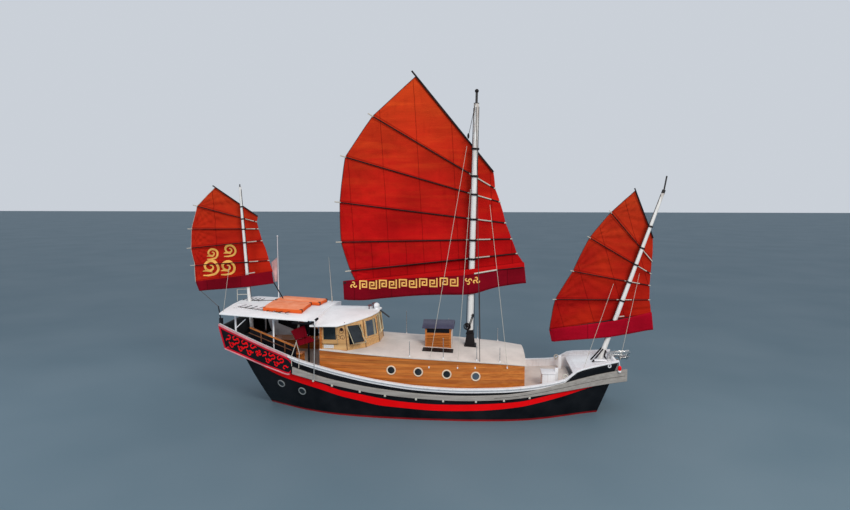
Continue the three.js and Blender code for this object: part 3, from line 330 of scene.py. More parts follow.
finish = {
    "white": paint("white_paint", (0.80, 0.80, 0.82), 0.38, drift=0.05, streak=0.30),
    "roof": paint("roof_white", (0.87, 0.865, 0.87), 0.5, drift=0.05, streak=0.12),
    "cream": paint("cream_deck", (0.66, 0.585, 0.535), 0.8, drift=0.07),
    "black": paint("black_paint", (0.006, 0.007, 0.010), 0.35, drift=0.3, shine=0.12),
    "spar_black": paint("black_spar", (0.012, 0.009, 0.010), 0.5, drift=0.35, shine=0.15),
    "slate": paint("slate_lid", (0.055, 0.055, 0.095), 0.42, drift=0.2),
    "red": paint("red_paint", (0.86, 0.003, 0.007), 0.35, drift=0.12, shine=0.10),
    "edge_red": paint("edge_red", (0.56, 0.006, 0.022), 0.4, drift=0.2, shine=0.10),
    "gold": paint("gold_paint", (0.84, 0.44, 0.10), 0.6, drift=0.12, shine=0.1),
    "cream_gold": paint("cream_gold", (0.90, 0.50, 0.13), 0.6, drift=0.1, shine=0.1),
    "ring": paint("ring_cream", (0.55, 0.52, 0.45), 0.35, drift=0.08),
    "peach": paint("peach_ring", (0.74, 0.60, 0.46), 0.4, drift=0.08),
    "dull_grey": paint("dull_grey", (0.21, 0.225, 0.23), 0.5, drift=0.15),
    "grey": paint("grey_paint", (0.36, 0.37, 0.37), 0.45, drift=0.12, streak=0.2),
    # pink: on the strip under each quarter board, red paint made pale by a painted sheen
    "pink": paint("pale_red", (0.66, 0.26, 0.29), 0.5, drift=0.25),
    "bottom": paint("antifouling", (0.26, 0.035, 0.028), 0.75, drift=0.25, streak=0.3),
    "varnish": timber("varnished_boards", (0.68, 0.235, 0.045), (0.40, 0.095, 0.014), 0.28, coat=0.12),
    "upright": timber("varnished_uprights", (0.60, 0.21, 0.045), (0.28, 0.075, 0.014), 0.28,
                      along="z", coat=0.12),
    "dark_wood": timber("dark_timber", (0.22, 0.085, 0.035), (0.09, 0.035, 0.018), 0.35, coat=0.3),
    "grey_wood": timber("grey_wale", (0.42, 0.395, 0.365), (0.27, 0.245, 0.225), 0.75, plank=5.0, seam=0.0),
    "steel": metal("stainless", (0.62, 0.62, 0.62), 0.2, (0.45, 0.43, 0.40)),
    "bronze": metal("bronze", (0.48, 0.30, 0.12), 0.3, (0.22, 0.2, 0.13)),
    "rope": laid_rope("pale_rope", (0.66, 0.62, 0.53), (0.36, 0.33, 0.28)),
    "dark_rope": laid_rope("dark_rope", (0.07, 0.06, 0.055), (0.025, 0.02, 0.02)),
    "glass": dark_glass("window_glass", (0.006, 0.009, 0.012), (0.06, 0.075, 0.09)),
    "pale_wood": timber("pale_joinery", (0.88, 0.53, 0.23), (0.55, 0.28, 0.10), 0.35, coat=0.1),
}
print("finishes mixed:", len(finish))

# %% [markdown]
# ## Ways to shape a piece
# Most pieces here are one of four things: a bar from point to point, a box with eased edges, a
# skin stretched over rings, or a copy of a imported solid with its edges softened. Each helper
# starts from a bmesh operator, so that one call makes the shape and its normals point out.

# %% Add a mesh as a piece of the boat
MERGE_NEAR = 0.0002
FLAT_WITHIN, HARD_FROM = math.radians(1), math.radians(40)


def add_piece(name, shape, material, body="hull", smooth=35.0):
    """Turns a bmesh into an object that rides on a body, if any, smooth up to an angle in degrees.

    A material is one of the finishes by name, a material, or a list of them."""
    mesh = bpy.data.meshes.new(name)
    bmesh.ops.recalc_face_normals(shape, faces=shape.faces)
    shape.to_mesh(mesh)
    shape.free()
    for one in material if isinstance(material, list) else [material]:
        mesh.materials.append(finish[one] if isinstance(one, str) else one)
    mesh.shade_smooth()
    mesh.set_sharp_from_angle(angle=math.radians(smooth))
    piece = put(name, mesh)
    if body:
        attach(piece, body)
    return piece


def stiffen(piece, thick, offset):
    """Gives a sheet of cloth its thickness, on one side (1) or half on each (0)."""
    cloth = piece.modifiers.new("cloth", "SOLIDIFY")
    cloth.thickness, cloth.offset = thick, offset


def only(kind, geometry):
    """The verts, edges or faces of what an operator gave back."""
    return [g for g in geometry if isinstance(g, getattr(bmesh.types, kind))]


def upright_to(axis):
    """A turn that carries Z to an axis."""
    return Vector(axis).to_track_quat("Z", "Y").to_matrix().to_4x4()


def edges_of(verts):
    return list({edge for vert in verts for edge in vert.link_edges})


def ease_edges(shape, edges, ease, segments=2):
    """Rounds edges off, as a plane or a sander would."""
    bmesh.ops.bevel(shape, geom=edges, offset=ease, offset_type="OFFSET", segments=segments,
                    profile=0.5, affect="EDGES", material=-1, clamp_overlap=True)


def hard_edges(shape, angle):
    return [e for e in shape.edges if e.is_manifold and e.calc_face_angle() > angle]


def add_bar(shape, start, end, radius, end_radius=None, sides=12):
    """A round bar between two points, in a bmesh that may hold others."""
    start, end = Vector(start), Vector(end)
    matrix = Matrix.Translation((start + end) / 2) @ upright_to(end - start)
    bmesh.ops.create_cone(shape, cap_ends=True, segments=sides, radius1=radius,
                          radius2=radius if end_radius is None else end_radius,
                          depth=(end - start).length, matrix=matrix)


def add_bars(shape, lines, radius, sides=8):
    for start, end in lines:
        add_bar(shape, start, end, radius, sides=sides)


def add_box(shape, low, high, ease=0.0, turn=None):
    """A box from corner to corner, with eased edges; turn is a matrix about its middle."""
    low, high = Vector(low), Vector(high)
    middle = Matrix.Translation((low + high) / 2) @ (turn or Matrix.Identity(4))
    matrix = middle @ Matrix.Diagonal((*(high - low), 1))
    verts = bmesh.ops.create_cube(shape, size=1.0, matrix=matrix)["verts"]
    if ease:
        ease_edges(shape, edges_of(verts), ease)


def add_ball(shape, at, radius, squash=(1, 1, 1), rings=10):
    matrix = Matrix.Translation(at) @ Matrix.Diagonal((*[radius * s for s in squash], 1))
    bmesh.ops.create_uvsphere(shape, u_segments=2 * rings, v_segments=rings, radius=1.0, matrix=matrix)


def add_ring(shape, centre, axis, radius, thick, around=28, section=8):
    """A round ring: a small circle spun about an axis."""
    axis = Vector(axis).normalized()
    across = axis.orthogonal().normalized()
    turn = Matrix((across, axis, across.cross(axis))).transposed().to_4x4()
    matrix = Matrix.Translation(Vector(centre) + across * radius) @ turn
    circle = bmesh.ops.create_circle(shape, segments=section, radius=thick, matrix=matrix)["verts"]
    bmesh.ops.spin(shape, geom=circle + edges_of(circle), cent=centre, axis=axis, angle=2 * math.pi,
                   steps=around, use_merge=True)


def stretch_skin(shape, rings, closed=True, capped=True):
    """A skin over rings of points with the same count, joined ring to ring."""
    made = []
    for ring in rings:
        verts = [shape.verts.new(point) for point in ring]
        pairs = zip(verts, verts[1:] + verts[:1]) if closed else zip(verts, verts[1:])
        made.append((verts, [shape.edges.new(pair) for pair in pairs]))
    for (_, first), (_, second) in zip(made, made[1:]):
        bmesh.ops.bridge_loops(shape, edges=first + second)
    if closed and capped:
        for verts, _ in (made[0], made[-1]):
            shape.faces.new(verts)


def body_of(name):
    bodies = frame["record"]["behaviour"]["bodies"]
    return next(body for body, members in bodies.items() if name in members)


def eased_copy(name, material, ease=0.0, slot=None, smooth=35.0):
    """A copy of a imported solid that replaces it, merged and with its hard edges eased."""
    shape = bmesh.new()
    shape.from_mesh(nodes[name].data)
    bmesh.ops.remove_doubles(shape, verts=shape.verts, dist=MERGE_NEAR)
    bmesh.ops.dissolve_limit(shape, angle_limit=FLAT_WITHIN, verts=shape.verts, edges=shape.edges)
    if ease:
        ease_edges(shape, hard_edges(shape, HARD_FROM), ease)
    piece = add_piece(f"{name}_dressed", shape, material, body_of(name), smooth)
    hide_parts(name)
    return piece


print("shaping helpers ready")

# %% [markdown]
# ## Hull
# The real hull is planked over frames, so its lines are fair curves with no facets. The
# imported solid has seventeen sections; a smooth curve through the same table gives the skin
# between them. The skin is stretched over these rings, cut flat at the raked transom and bow,
# closed there, and given the thickness of the bulwark.

# %% The lines of the hull, in metres
STATIONS = {
    "x": [-8.0, -7.0, -6.23, -5.5, -4.7, -3.9, -3.15, -1.7, -0.25, 1.2, 2.6, 3.4, 4.1, 4.9, 5.45, 6.3, 7.1],
    "water": [.25, .35, .64, 1.02, 1.40, 1.68, 1.86, 2.01, 2.06, 2.04, 1.92, 1.78, 1.56, 1.21, .94, .59, .35],
    "top": [1.62, 1.73, 1.83, 1.91, 1.99, 2.06, 2.11, 2.16, 2.17, 2.13, 2.0, 1.88, 1.74, 1.51, 1.31,
            .99, .76],
    "sheer": [3.35, 2.93, 2.63, 2.36, 2.085, 1.88, 1.71, 1.445, 1.28, 1.22, 1.235, 1.275, 1.345, 1.47,
              1.80, 1.94, 2.06],
    "bottom": [.5, .2, -.04, -.23, -.42, -.57, -.69, -.81, -.85, -.83, -.75, -.66, -.54, -.37, -.24,
               -.06, .3],
}


def through(xs, values, x):
    """A smooth curve through a table's points that never overshoots them, read at x."""
    if x <= xs[0] or x >= xs[-1]:
        a, b = (0, 1) if x <= xs[0] else (-2, -1)
        return values[a] + (values[b] - values[a]) * (x - xs[a]) / (xs[b] - xs[a])
    k = next(i for i in range(len(xs) - 1) if x <= xs[i + 1])

    def slope(i):
        if i in (0, len(xs) - 1):
            j = min(max(i, 1), len(xs) - 1)
            return (values[j] - values[j - 1]) / (xs[j] - xs[j - 1])
        before = (values[i] - values[i - 1]) / (xs[i] - xs[i - 1])
        after = (values[i + 1] - values[i]) / (xs[i + 1] - xs[i])
        return 0.0 if before * after <= 0 else 2 * before * after / (before + after)

    run = xs[k + 1] - xs[k]
    t = (x - xs[k]) / run
    low, high, a, b = values[k], values[k + 1], slope(k) * run, slope(k + 1) * run
    return (low * (2 * t**3 - 3 * t**2 + 1) + a * (t**3 - 2 * t**2 + t)
            + high * (3 * t**2 - 2 * t**3) + b * (t**3 - t**2))


def read(table, key, x):
    """One of a table's lines, read at x."""
    return through(table["x"], table[key], x)


def line_at(key, x):
    return read(STATIONS, key, x)


CAP_HEIGHT = 0.06
print("half breadth amidships:", round(line_at("top", 0), 3))

# %% Half a section, and the height of each painted band on it
BILGE_ROUND, FLARE = 0.75, 1.6


def side_at(x, z):
    """The hull's half breadth at a height above the waterline."""
    water, top, rim = line_at("water", x), line_at("top", x), line_at("sheer", x) - CAP_HEIGHT
    share = min(max(z / rim, 0.0), 1.0)
    return water + (top - water) * (1 - (1 - share) ** FLARE)


def half_section(x, below=12, above=16):
    """Points [y, z] from the keel line up to the rim."""
    water, top, rim = line_at("water", x), line_at("top", x), line_at("sheer", x) - CAP_HEIGHT
    low = min(line_at("bottom", x), 0.0)
    points = []
    for i in range(below + 1):
        angle = math.radians(90 * i / below)
        points.append((water * math.sin(angle) ** BILGE_ROUND, low * math.cos(angle) ** BILGE_ROUND))
    for i in range(1, above + 1):
        share = i / above
        points.append((water + (top - water) * (1 - (1 - share) ** FLARE), rim * share))
    return points


RED_STRIPE = {
    "x": [-8.0, -6.4, -5.6, -4.68, -3.91, -3.16, -2.41, -1.68, -0.95, 0.48, 1.9, 3.32, 4.03, 4.76,
          5.5, 6.0, 7.2],
    "top": [2.9, 2.10, 1.74, 1.42, 1.24, 1.01, .90, .78, .69, .62, .65, .73, .86, 1.00, 1.13, 1.20, 1.30],
    "low": [2.8, 1.80, 1.40, 1.16, .98, .78, .64, .50, .45, .38, .41, .53, .66, .81, .97, 1.08, 1.26],
}
WHITE_BAND = {"x": [-6.0, -4.5, 4.6, 5.4, 7.2], "deep": [.02, .10, .10, .02, .015]}
BOOT_LINE = (0.01, 0.07)
STERN_RAKE = (-6.23, -0.339)
BOW_RAKE = (6.24, 0.351)
TRANSOM_TOP = 2.30
BULWARK = 0.085
print("bands at midships:", [round(read(RED_STRIPE, key, 0), 2) for key in ("top", "low")])

# %% Hull paint
def hull_paint():
    """Black topsides with a white strake, a red stripe, a red boot line and a red bottom."""
    material, tree, shader = new_material("hull_paint", (0.006, 0.007, 0.010), 0.33, shine=0.14)
    slow = speckle(tree, place(tree), 1.2, detail=5.0)
    runs = speckle(tree, place(tree, (6, 6, 0.6)), 2.0, detail=5.0, low=0.5, high=0.85)
    drop, height = attribute(tree, "below_rim"), axes(tree)["Z"]
    red = blend(tree, slow, (0.84, 0.001, 0.003), (0.95, 0.002, 0.005))
    boot = blend(tree, slow, (0.20, 0.004, 0.008), (0.28, 0.008, 0.012))
    white = blend(tree, times(tree, runs, 0.25), (0.80, 0.80, 0.82), (0.42, 0.38, 0.33))
    bottom = blend(tree, slow, (0.20, 0.02, 0.016), (0.34, 0.05, 0.04))
    tone = blend(tree, slow, (0.003, 0.004, 0.006), (0.011, 0.012, 0.015))
    for where, band in ((between(tree, attribute(tree, "red_stripe"), 0.0, 1.0), red),
                        (calc(tree, "LESS_THAN", drop, 0.0), white),
                        (between(tree, height, *BOOT_LINE), boot),
                        (calc(tree, "LESS_THAN", height, BOOT_LINE[0]), bottom)):
        tone = blend(tree, where, tone, band)
    cover(tree, shader, tone)
    planks = calc(tree, "FRACT", times(tree, drop, 6.2))
    seam = calc(tree, "GREATER_THAN", calc(tree, "ABSOLUTE", calc(tree, "SUBTRACT", planks, 0.5)), 0.47)
    first = emboss(tree, shader, calc(tree, "SUBTRACT", 1.0, seam), 0.002, 0.35)
    emboss(tree, shader, speckle(tree, place(tree, (1, 1, 2)), 9.0, detail=4.0), 0.003, 0.3, under=first)
    return material


# %% Stretch the hull's skin, and cut and close its ends
AFT_END, HULL_RUN, RINGS = -8.0, 15.1, 64


def slice_at(shape, at, normal, drop=True, near=0.0):
    """Cuts a shape along a plane and drops what lies beyond it; gives the new edges and verts."""
    return bmesh.ops.bisect_plane(shape, geom=shape.verts[:] + shape.edges[:] + shape.faces[:],
                                  plane_co=at, plane_no=normal, clear_outer=drop, dist=near)["geom_cut"]


def make_hull():
    shape = bmesh.new()
    rings = []
    for i in range(RINGS):
        x = AFT_END + HULL_RUN * i / (RINGS - 1)
        half = half_section(x)
        rings.append([(x, -y, z) for y, z in reversed(half)] + [(x, y, z) for y, z in half[1:]])
    stretch_skin(shape, rings, closed=False)
    for (x, slope), side in ((STERN_RAKE, -1), (BOW_RAKE, 1)):
        normal = Vector((side, 0, -side * slope)).normalized()
        rim = only("BMVert", slice_at(shape, (x, 0, 0), normal, near=1e-5))
        if side < 0:
            slice_at(shape, (0, 0, TRANSOM_TOP), (0, 0, 1), drop=False, near=1e-5)
            rim = [v for v in shape.verts if abs((v.co - Vector((x, 0, 0))).dot(normal)) < 1e-4
                   and v.co.z <= TRANSOM_TOP + 1e-4]
        port = sorted((v for v in rim if v.co.y >= 0), key=lambda v: v.co.z)
        starboard = sorted((v for v in rim if v.co.y < 0), key=lambda v: -v.co.z)
        shape.faces.new(port + starboard)
    return shape


hull_shape = make_hull()
stripe_layer = hull_shape.verts.layers.float.new("red_stripe")
rim_layer = hull_shape.verts.layers.float.new("below_rim")
for vert in hull_shape.verts:
    x, _, z = vert.co
    top, low = (read(RED_STRIPE, key, x) for key in ("top", "low"))
    vert[stripe_layer] = (z - low) / max(top - low, 0.02)
    vert[rim_layer] = line_at("sheer", x) - CAP_HEIGHT - z - read(WHITE_BAND, "deep", x)
hull = add_piece("planked_hull", hull_shape, [hull_paint(), "white"], smooth=45)
wall = hull.modifiers.new("bulwark", "SOLIDIFY")
wall.thickness, wall.offset, wall.use_even_offset = BULWARK, -1, True
wall.material_offset = wall.material_offset_rim = 1
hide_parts("hull")
print("hull skin faces:", len(hull.data.polygons))

# %% Keel and running gear
KEEL = [(5.0, -0.15), (4.75, -0.56), (4.3, -0.96), (3.6, -1.08), (-5.15, -1.30), (-5.87, -1.30),
        (-5.87, -1.18), (-5.25, -1.18), (-5.25, -0.10)]
KEEL_HALF, KEEL_EASE = 0.09, 0.025
shape = bmesh.new()
stretch_skin(shape, [[(x, side * KEEL_HALF, z) for x, z in KEEL] for side in (-1, 1)])
ease_edges(shape, hard_edges(shape, 0.6), KEEL_EASE, segments=3)
add_piece("keel_timber", shape, "bottom")
eased_copy("rudder", "bottom", 0.012, "bottom_red")
eased_copy("propeller", "bronze", 0.0, "bronze", smooth=50)
print("keel, rudder and propeller dressed")

# %% [markdown]
# ## Rails, wales and decks
# Long timbers follow the sheer. Each is one section carried along the side from ring to ring,
# so its edges run as fair as the hull's. The decks are flat enough to keep as packed.

# %% Carry a section along both sides
SIDES = {"port": 1, "starboard": -1}


def spaced(low, high, count):
    return [low + (high - low) * i / (count - 1) for i in range(count)]


def eased_section(y0, y1, z0, z1, ease=0.012):
    """A rectangle's corners with each corner cut off, as [y, z]."""
    return [(y0 + ease, z0), (y1 - ease, z0), (y1, z0 + ease), (y1, z1 - ease),
            (y1 - ease, z1), (y0 + ease, z1), (y0, z1 - ease), (y0, z0 + ease)]


def cut_off(shape, at, normal):
    """Cuts off what lies beyond a plane, and closes the cut."""
    bmesh.ops.edgeloop_fill(shape, edges=only("BMEdge", slice_at(shape, at, normal)))


def side_timber(name, xs, section, material, at_bow=False, replaced=None, rake=None):
    """One timber on each side; section(x) gives its corners as [y, z] on the port side."""
    made = []
    for side_name, side in SIDES.items():
        shape = bmesh.new()
        stretch_skin(shape, [[(x, side * y, z) for y, z in section(x)] for x in xs])
        if at_bow:
            cut_off(shape, (BOW_RAKE[0], 0, 0), Vector((1, 0, -BOW_RAKE[1])).normalized())
        if rake:
            (x0, z0), (x1, z1) = rake
            cut_off(shape, (x0, 0, z0), Vector((z0 - z1, 0, x1 - x0)).normalized())
        piece = add_piece(f"{name}_{side_name}", shape, material, smooth=32)
        if replaced:
            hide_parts(f"{replaced}_{side_name}")
        made.append(piece)
    return made


WALE_LINES = {
    "x": [-4.95, -3.9, -3.15, -1.7, -0.25, 1.2, 2.6, 3.4, 4.1, 4.9, 6.3, 7.28],
    "top": [1.80, 1.51, 1.36, 1.15, 1.02, .97, 1.00, 1.07, 1.19, 1.35, 1.575, 1.69],
    "low": [1.54, 1.31, 1.17, .95, .835, .785, .815, .875, .96, 1.045, 1.165, 1.245],
}


def wale_top(x):
    return read(WALE_LINES, "top", x)


def wale_low(x):
    return read(WALE_LINES, "low", x)


def rail_section(x, inner, out, proud=0.0, ease=0.012):
    """The rail's section between two distances from the hull's top edge."""
    side, rim = line_at("top", x), line_at("sheer", x)
    return eased_section(side + inner, side + out, rim - CAP_HEIGHT - proud, rim + proud, ease)


side_timber("rail_cap", spaced(-7.845, 7.1, 70), lambda x: rail_section(x, -0.095, 0.075),
            "white", at_bow=True, replaced="cap_rail")
side_timber("rail_edging", spaced(-7.842, -5.12, 30), lambda x: rail_section(x, 0.015, 0.079, 0.004, 0.008),
            "pink")
print("cap rails laid")

# %% Grey wales, two planks deep, with wings past the bow
WALE_PROUD, WALE_EASE = 0.06, 0.015
SEAM_HALF, SEAM_PROUD = 0.008, 0.0615


def wale_section(x):
    inner = side_at(min(x, 7.0), wale_low(x)) - 0.02
    return eased_section(inner, line_at("top", x) + WALE_PROUD, wale_low(x), wale_top(x), WALE_EASE)


def seam_section(x):
    middle, side = (wale_low(x) + wale_top(x)) / 2, line_at("top", x)
    return eased_section(side + 0.03, side + SEAM_PROUD, middle - SEAM_HALF, middle + SEAM_HALF, 0.003)


side_timber("grey_wale", spaced(-4.95, 7.28, 60), wale_section, "grey_wood", replaced="wale")
side_timber("wale_seam", spaced(2.4, 7.2, 30), seam_section, "spar_black")
print("wales laid")

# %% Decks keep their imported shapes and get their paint
def repaint(name, key):
    """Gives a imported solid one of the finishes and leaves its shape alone."""
    mesh = nodes[name].data
    mesh.materials.clear()
    mesh.materials.append(finish[key])


for name, key in {"main_deck": "cream", "poop_deck": "cream", "foredeck": "white"}.items():
    repaint(name, key)
print("decks painted")

# %% [markdown]
# ## Quarter boards
# The stern carries a long black board on each side, framed in red, that sweeps up aft past
# the transom. It is one plate whose edge strips stand proud of its field. Its ornaments are
# plain scrolls: ribbons spun round one centre after another, each with a smaller radius.

# %% The board's outline and its raised frame
BOARD = {
    "x": [-7.85, -7.64, -7.0, -6.23, -5.5, -5.08, -5.0],
    "low": [2.47, 2.39, 2.16, 1.89, 1.66, 1.55, 1.64],
    "high": [3.215, 3.12, 2.86, 2.56, 2.29, 2.11, 1.99],
}
BOARD_RAKE = ((-7.64, 2.39), (-7.85, 3.215))
BOARD_THICK, BOARD_GAP = 0.06, 0.001
FRAME_WIDE, FRAME_PROUD, FRAME_SLOPE = 0.06, 0.014, 0.006


def board_edges(x):
    return [read(BOARD, key, x) for key in ("low", "high")]


def board_section(x):
    low, high = board_edges(x)
    inner = line_at("top", x) + BOARD_GAP
    out = inner + BOARD_THICK
    field = out - FRAME_PROUD
    return [(inner, low), (out, low), (out, low + FRAME_WIDE), (field, low + FRAME_WIDE + FRAME_SLOPE),
            (field, high - FRAME_WIDE - FRAME_SLOPE), (out, high - FRAME_WIDE), (out, high), (inner, high)]


def skirting_section(x):
    side, low = line_at("top", x), board_edges(x)[0]
    return eased_section(side - 0.02, side + BOARD_THICK + 0.012, low - 0.050, low - BOARD_GAP, 0.008)


board_xs = spaced(-7.85, -5.08, 26) + [-5.04, -5.0]
board_faces = {}
for piece in side_timber("stern_board", board_xs, board_section, ["black", "edge_red"],
                         replaced="quarter_board", rake=BOARD_RAKE):
    for face in piece.data.polygons:
        x, y, z = face.center
        low, high = board_edges(x)
        on_frame = min(z - low, high - z) < FRAME_WIDE + 0.001
        face.material_index = 1 if on_frame and abs(y) > line_at("top", x) + 0.02 else 0
    board_faces[piece.name] = piece
foot, head = (Vector((x, 0, z)) for x, z in BOARD_RAKE)
up = (head - foot).normalized()
lean = Matrix.Rotation(math.atan2(up.x, up.z), 4, "Y")
middle = (foot + head) / 2 + Vector((0.032, 0, -0.01))
size = Vector((FRAME_WIDE, FRAME_PROUD + 0.004, (head - foot).length - 0.06))
frame_y = line_at("top", -7.7) + BOARD_GAP + BOARD_THICK - FRAME_PROUD / 2
for side_name, side in SIDES.items():
    ends, at = bmesh.new(), middle + Vector((0, side * frame_y, 0))
    add_box(ends, at - size / 2, at + size / 2, 0.004, lean)
    add_ball(ends, foot + Vector((0.16, side * (frame_y + 0.01), 0.01)), 0.05, (1.2, 0.8, 0.9), rings=8)
    add_piece(f"board_end_{side_name}", ends, "edge_red", smooth=40)
# The pink skirting under each board is red paint made pale by a painted sheen.
side_timber("board_skirting", spaced(-7.62, -5.06, 30), skirting_section, "pink")
print("quarter boards framed")

# %% A ribbon bent round arcs
BESIDE = 6.0
ARC_STEP = 14


def grow_edge(shape, edge):
    """Pulls a new edge out of an edge."""
    return only("BMEdge", bmesh.ops.extrude_edge_only(shape, edges=[edge])["geom"])[0]


def ribbon(shape, start, heading, wide, arcs, taper=0.3):
    """A flat ribbon in the XZ plane that swells and thins; each arc is (radius, degrees)."""
    at, angle = Vector((start[0], 0, start[1])), math.radians(heading)
    total = sum(abs(math.radians(degrees)) * radius for radius, degrees in arcs)
    left = Vector((-math.sin(angle), 0, math.cos(angle)))
    edge = shape.edges.new([shape.verts.new(at + left * wide * taper * s / 2) for s in (-1, 1)])
    done = 0.0
    for radius, degrees in arcs:
        steps = max(int(abs(degrees) / ARC_STEP), 2)
        turn = math.radians(degrees) / steps
        for _ in range(steps):
            angle += turn / 2
            at = at + Vector((math.cos(angle), 0, math.sin(angle))) * 2 * radius * math.sin(abs(turn) / 2)
            angle += turn / 2
            done += radius * abs(turn)
            swell = taper + (1 - taper) * math.sin(math.pi * min(done / total, 1)) ** 0.6
            left = Vector((-math.sin(angle), 0, math.cos(angle)))
            old = edge.verts[0].co.copy()
            edge = grow_edge(shape, edge)
            first, second = sorted(edge.verts, key=lambda v: (v.co - old).length)
            first.co, second.co = (at + left * wide * swell * s / 2 for s in (-1, 1))
            if edge.verts[0] is not first:
                edge = shape.edges.get((first, second))


def feel(surface, x, z, side):
    """Where a line from one side of the boat meets a surface."""
    return surface.ray_cast(Vector((x, side * BESIDE, z)), Vector((0, -side, 0)))[0]


def laid_on(shape, surface, lift, thick, side=-1):
    """Drops a flat pattern on a surface seen from starboard (-1) or port, then thickens it."""
    for vert in shape.verts:
        hit = feel(surface, vert.co.x, vert.co.z, side)
        vert.co.y = hit.y + side * lift if hit else 0.0
    bmesh.ops.recalc_face_normals(shape, faces=shape.faces)
    bmesh.ops.solidify(shape, geom=shape.faces[:], thickness=thick)


def surface_of(piece):
    return BVHTree.FromObject(piece, bpy.context.evaluated_depsgraph_get())


print("ribbon helpers ready")

# %% Red scrolls on the boards
SCROLL_GROUPS = [
    # from x, to x, columns, stroke width, size
    (-7.42, -6.54, 6, 0.056, 0.80), (-5.98, -5.32, 5, 0.052, 0.70),
]
KNOT_X, KNOT_UP = -6.26, 0.36
for side_name, side in SIDES.items():
    shape = bmesh.new()
    for first, final, columns, wide, size in SCROLL_GROUPS:
        for i, x in enumerate(spaced(first, final, columns)):
            low, high = board_edges(x)
            bend = 1 if i % 2 else -1
            for share, turn in ((0.31, 1), (0.72, -1)):
                start = (x - 0.03 * bend, low + (high - low) * share)
                ribbon(shape, start, 70 * turn, wide, [(0.10 * size, 130 * bend), (0.05 * size, -150 * bend)])
                ribbon(shape, start, 180 + 70 * turn, wide * 0.9, [(0.07 * size, -120 * bend)])
    for turn in (0, 90, 180, 270):
        ribbon(shape, (KNOT_X, board_edges(KNOT_X)[0] + KNOT_UP), turn, 0.05, [(0.06, 100), (0.035, 120)],
               taper=0.6)
    laid_on(shape, surface_of(board_faces[f"stern_board_{side_name}"]), 0.004, 0.008, side)
    add_piece(f"board_scrolls_{side_name}", shape, "red")
print("board scrolls laid")

# %% Gallery between the boards
eased_copy("stern_gallery", "black", 0.008, "hull_black")
print("gallery dressed")

# %% [markdown]
# ## Deckhouse
# The long trunk is varnished planking with round portlights, under a cambered roof sheathed
# in cream canvas. Copies of the imported walls keep their true places; on the roofs, door, companion
# and fittings softened edges catch the light along the corners, which is what makes joinery look made rather
# than drawn.

# %% Walls and roofs
DRESSED = {
    # solid: finish, ease, slot, smooth up to
    "trunk_cabin": ("varnish", 0.0, "varnish", 25), "wheelhouse": ("pale_wood", 0.0, "varnish", 12),
    "coachroof": ("cream", 0.012, "deck_cream", 25), "wheelhouse_roof": ("roof", 0.014, "roof_white", 25),
    "aft_roof": ("roof", 0.014, "roof_white", 25), "wheelhouse_door": ("upright", 0.006, "varnish"),
    "companion_box": ("upright", 0.006, "varnish"), "hatch_lid": ("slate", 0.008, "lid_slate"),
    "mainmast_cheeks": ("spar_black", 0.006, "spar_black"), "bitt_port": ("white", 0.01, "cap_white"),
    "bitt_starboard": ("white", 0.01, "cap_white"), "bow_roller": ("steel", 0.003, "steel"),
}
dressed = {name: eased_copy(name, *look) for name, look in DRESSED.items()}
trunk, house, cabin_roof, house_roof, poop_roof = (
    dressed[name] for name in ("trunk_cabin", "wheelhouse", "coachroof", "wheelhouse_roof", "aft_roof"))
for side_name in SIDES:
    repaint(f"main_shroud_{side_name}", "dark_rope")
print("house dressed")

# %% [markdown]
# ## Masts
# Each mast is a round spar that tapers upwards, white, with a black cap. Rain brings rust and
# tar down from the masthead, so the white is streaked brown below the cap.

# %% Mast paint and the three masts
MASTS = {
    "main": {"foot": (1.443, 0, 0.356), "head": (1.670, 0, 11.49), "low": .122, "high": .100,
             "truck": (1.679, 0, 11.93), "tip": .045, "weather": (3.0, 0.03)},
    "fore": {"foot": (6.39, 0, 1.70), "head": (8.56, 0, 8.26), "low": .094, "high": .062,
             "truck": (8.64, 0, 8.77), "tip": .028, "weather": (0.6, 0.12)},
    "mizzen": {"foot": (-7.205, 0, 2.25), "head": (-7.56, 0, 8.39), "low": .076, "high": .052,
               "truck": (-7.566, 0, 8.50), "tip": .022, "weather": (0.08, 0.0)},
}


def mast_paint(name, head, streaked, cap):
    """White paint that rain has streaked brown below a black cap."""
    material, tree, shader = new_material(name, (0.80, 0.79, 0.76), 0.4)
    height = axes(tree)["Z"]
    runs = speckle(tree, place(tree, (9, 9, 0.8)), 2.2, detail=6.0, low=0.42, high=0.7)
    amount = times(tree, runs, calc(tree, "ADD", span(tree, height, head - streaked, head), 0.18))
    tone = blend(tree, amount, (0.80, 0.79, 0.77), (0.22, 0.13, 0.08))
    capped = calc(tree, "GREATER_THAN", height, head - cap)
    cover(tree, shader, blend(tree, capped, tone, (0.02, 0.018, 0.018)))
    emboss(tree, shader, runs, 0.002, 0.3)
    return material


for name, mast in MASTS.items():
    shape = bmesh.new()
    add_bar(shape, mast["foot"], mast["head"], mast["low"], mast["high"], sides=48)
    add_bar(shape, mast["head"], mast["truck"], mast["tip"], sides=24)
    head = mast["head"][2]
    piece = add_piece(f"{name}_mast_spar", shape, mast_paint(f"{name}_mast_paint", head, *mast["weather"]))
    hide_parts(f"{name}_mast")
print("masts stepped")

# %% [markdown]
# ## Sails
# A junk sail is flat cloth held by battens. Between two battens the cloth hangs in a shallow
# belly, its after edge is cut in a little between the batten ends, and creases fan out from
# those ends. Each sail is a fine grid moved into that shape, panel by panel. The lowest strip
# is a crimson cover that passes in front of the mast, with the boom inside it.

